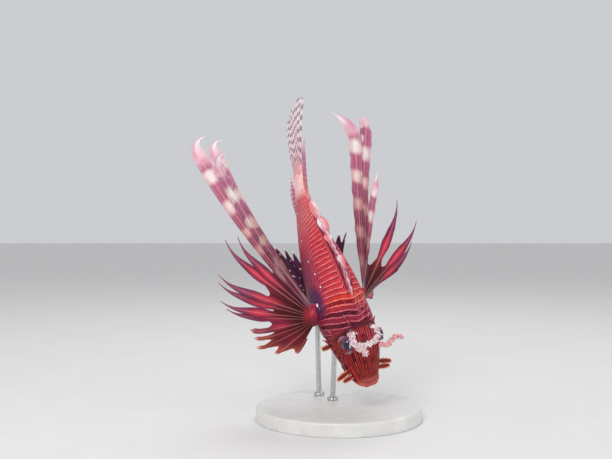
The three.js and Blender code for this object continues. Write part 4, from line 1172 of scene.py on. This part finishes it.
def pectoral_ribbon(shape, fan, k, paths, facing):
    """One ray's strip of membrane with the shaft in its middle, a little off its neighbours' level"""
    long = k < LONG_RAYS
    t = np.linspace(0, 1, 110)
    u = np.linspace(-1, 1, 21)[None]
    share = mix((0.1 if long else 0.45) * float(web_shares(k)), 1, t)
    path = path_point(paths[k:k + 1], share[:, None])[:, 0]
    opening = smooth(t / (0.24 if long else 0.5))
    level = k - 1 if long else (k % 2) / 2 - 0.25
    ahead = heading_along(path)
    across = unit(np.cross(facing, ahead))
    widest = float(fan["width"](k)) * (mix(0.5, 1, t**1.4) if long else np.ones_like(t))
    taper = smooth((1 - t) / (0.14 if long else 0.66 if k < FRONT_RAYS else 0.12))
    width = mix(2.0 if long else 2.4, mix(0.5, widest, taper), opening)
    if float(fan["quick"](k)) < 1:
        curled = smooth((t - float(fan["late"](k)) + 0.06) / 0.07)
        width = mix(width, 3.4 * smooth((1 - t) / 0.05 + 0.1), curled)
    run = share * (float(fan["length"](k)) * LENGTH)
    ruffle = 0.5 * wave(run / 17 + 0.31 * k)[:, None] * np.sign(u) * u**2
    ruffle = ruffle + 0.35 * wave(run / 11 + 0.2 * k)[:, None] * u**2
    middle = path + facing * (1.4 * level * opening)[:, None]
    grid = (middle[:, None] + across[:, None] * (u * width[:, None] / 2)[..., None]
            + np.cross(ahead, across)[:, None] * (ruffle * (opening * width / widest)[:, None])[..., None])
    shaft = bell(u, 0.1) * mix(0.62, 0.12, t)[:, None] * (1 + 0.1 * wave(run / 1.7))[:, None]
    if long:
        tint = long_paint(fan["bands"](run)[:, None] + 0.1 * (k - 1), share[:, None], u)
    else:
        tint = short_paint(share[:, None], u, k)
    sheet(shape, grid, 0.17 * (1.1 - u**2) ** 0.5 + shaft, tint, 4 * u)


def pectoral_fin(name, side, fan, spread, material):
    shape = Shape()
    pectoral_web(shape, side, fan, spread)
    pectoral_lobe(shape, side)
    paths, facings = pectoral_paths(side, fan, np.arange(PECTORAL_RAYS, dtype=float))
    for k in range(PECTORAL_RAYS):
        pectoral_ribbon(shape, fan, k, paths, facings[k])
    build(f"{name}_rays", shape, material, [name], place=posed)


def lathe(shape, profile, centre, sides):
    """A closed turned body about an upright axis, from its lowest point on the axis to its highest"""
    profile = np.array(profile, float)
    turn = np.linspace(0, 2 * np.pi, sides, endpoint=False)
    radii, heights = profile[1:-1, :1], profile[1:-1, 1:]
    rings = points_at(radii * np.cos(turn), radii * np.sin(turn), heights)
    ends = points_at(0, 0, profile[[0, -1], 1])
    shape.add(np.concatenate([rings.reshape(-1, 3), ends]) + centre, ring_faces(len(radii), sides))


def stand():
    low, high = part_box("stand_base")
    radius, height = (high.x - low.x) / 2 / MM, high.z / MM
    corner = np.linspace(0, np.pi / 2, 9)
    rim = [[radius - 1.5 + 1.5 * np.cos(a), height - 1.5 + 1.5 * np.sin(a)] for a in corner]
    foot = [[radius - 0.8 + 0.8 * np.sin(a), 0.8 - 0.8 * np.cos(a)] for a in corner]
    disc = Shape()
    lathe(disc, [[0, 0], *foot, *rim, [radius * 0.6, height], [0, height]], np.zeros(3), 256)
    build("stand_disc", disc, stone_finish(), ["stand_base"], place=standing)

    collar = [[0, -0.5], [4.2, -0.5], [4.2, 1.6], [3.8, 2.3], [2.6, 2.8], [0, 2.8]]
    steel = steel_finish()
    for name, (foot, share, aside) in RODS.items():
        top = posed(np.array([-share * LENGTH, aside, float(belly_line(share)) * LENGTH + 2.5]))
        bottom = np.array([*foot, height - ROD_SINK])
        rod = Shape()
        tube(rod, np.linspace(bottom, top, 24), np.full(24, ROD_RADIUS), 32)
        lathe(rod, [[out, height + up] for out, up in collar], np.array([*foot, 0.0]), 48)
        build(f"stand_post_{name}", rod, steel, [f"stand_rod_{name}"], place=standing)


def camera():
    data = bpy.data.cameras.new("camera")
    data.sensor_width = SENSOR_WIDTH
    data.lens = SENSOR_WIDTH / 2 / np.tan(np.radians(CAMERA_WIDTH_DEGREES / 2))
    data.clip_start, data.clip_end = 0.01, 50
    eye = bpy.data.objects.new("camera", data)
    eye.location = CAMERA_PLACE
    eye.rotation_euler = (np.pi / 2, 0, 0)
    bpy.context.scene.collection.objects.link(eye)
    bpy.context.scene.camera = eye


def lights():
    for name, (place, size, power, tint) in LIGHTS.items():
        light = bpy.data.lights.new(name, "AREA")
        light.shape, light.size, light.energy, light.color = "DISK", size, power, tint
        lamp = bpy.data.objects.new(name, light)
        lamp.location = place
        lamp.rotation_mode = "QUATERNION"
        lamp.rotation_quaternion = Vector(np.array(LIGHT_AIM) - np.array(place)).to_track_quat("-Z", "Y")
        bpy.context.scene.collection.objects.link(lamp)


def studio():
    camera()
    lights()
    mesh = bpy.data.meshes.new("floor")
    corners = [(-1, -1), (1, -1), (1, 1), (-1, 1)]
    mesh.from_pydata([(x * FLOOR_REACH, y * FLOOR_REACH, 0) for x, y in corners], [], [(0, 1, 2, 3)])
    mesh.materials.append(paper_finish())
    floor = bpy.data.objects.new("floor", mesh)
    bpy.context.scene.collection.objects.link(floor)

    world = bpy.data.worlds.new("studio")
    world.use_nodes = True
    sky = world.node_tree.nodes["Background"]
    sky.inputs["Color"].default_value = BACKDROP
    sky.inputs["Strength"].default_value = BACKDROP_STRENGTH
    bpy.context.scene.world = world
    bpy.context.scene.view_settings.view_transform = "Standard"


studio()
membrane = fin_finish()
bone = spine_finish()
frill = frill_finish()
skin()
eyes(eye_finish())
frills = Shape()
crest_frills(frills)
flaps(frills)
build("frills", frills, frill)
for name, settings in TENTACLES.items():
    tentacle(name, *settings, frill)
head_thorns(bone)
folded_spines(bone, membrane)
median_fins(membrane)
for name, side in (("left", 1), ("right", -1)):
    pelvic_fin(f"pelvic_fin_{name}", side, *PELVIC_TURNS[name], membrane)
    pectoral_fin(f"pectoral_fin_{name}", side, FANS[name], WEB_SPREADS[name], membrane)
stand()
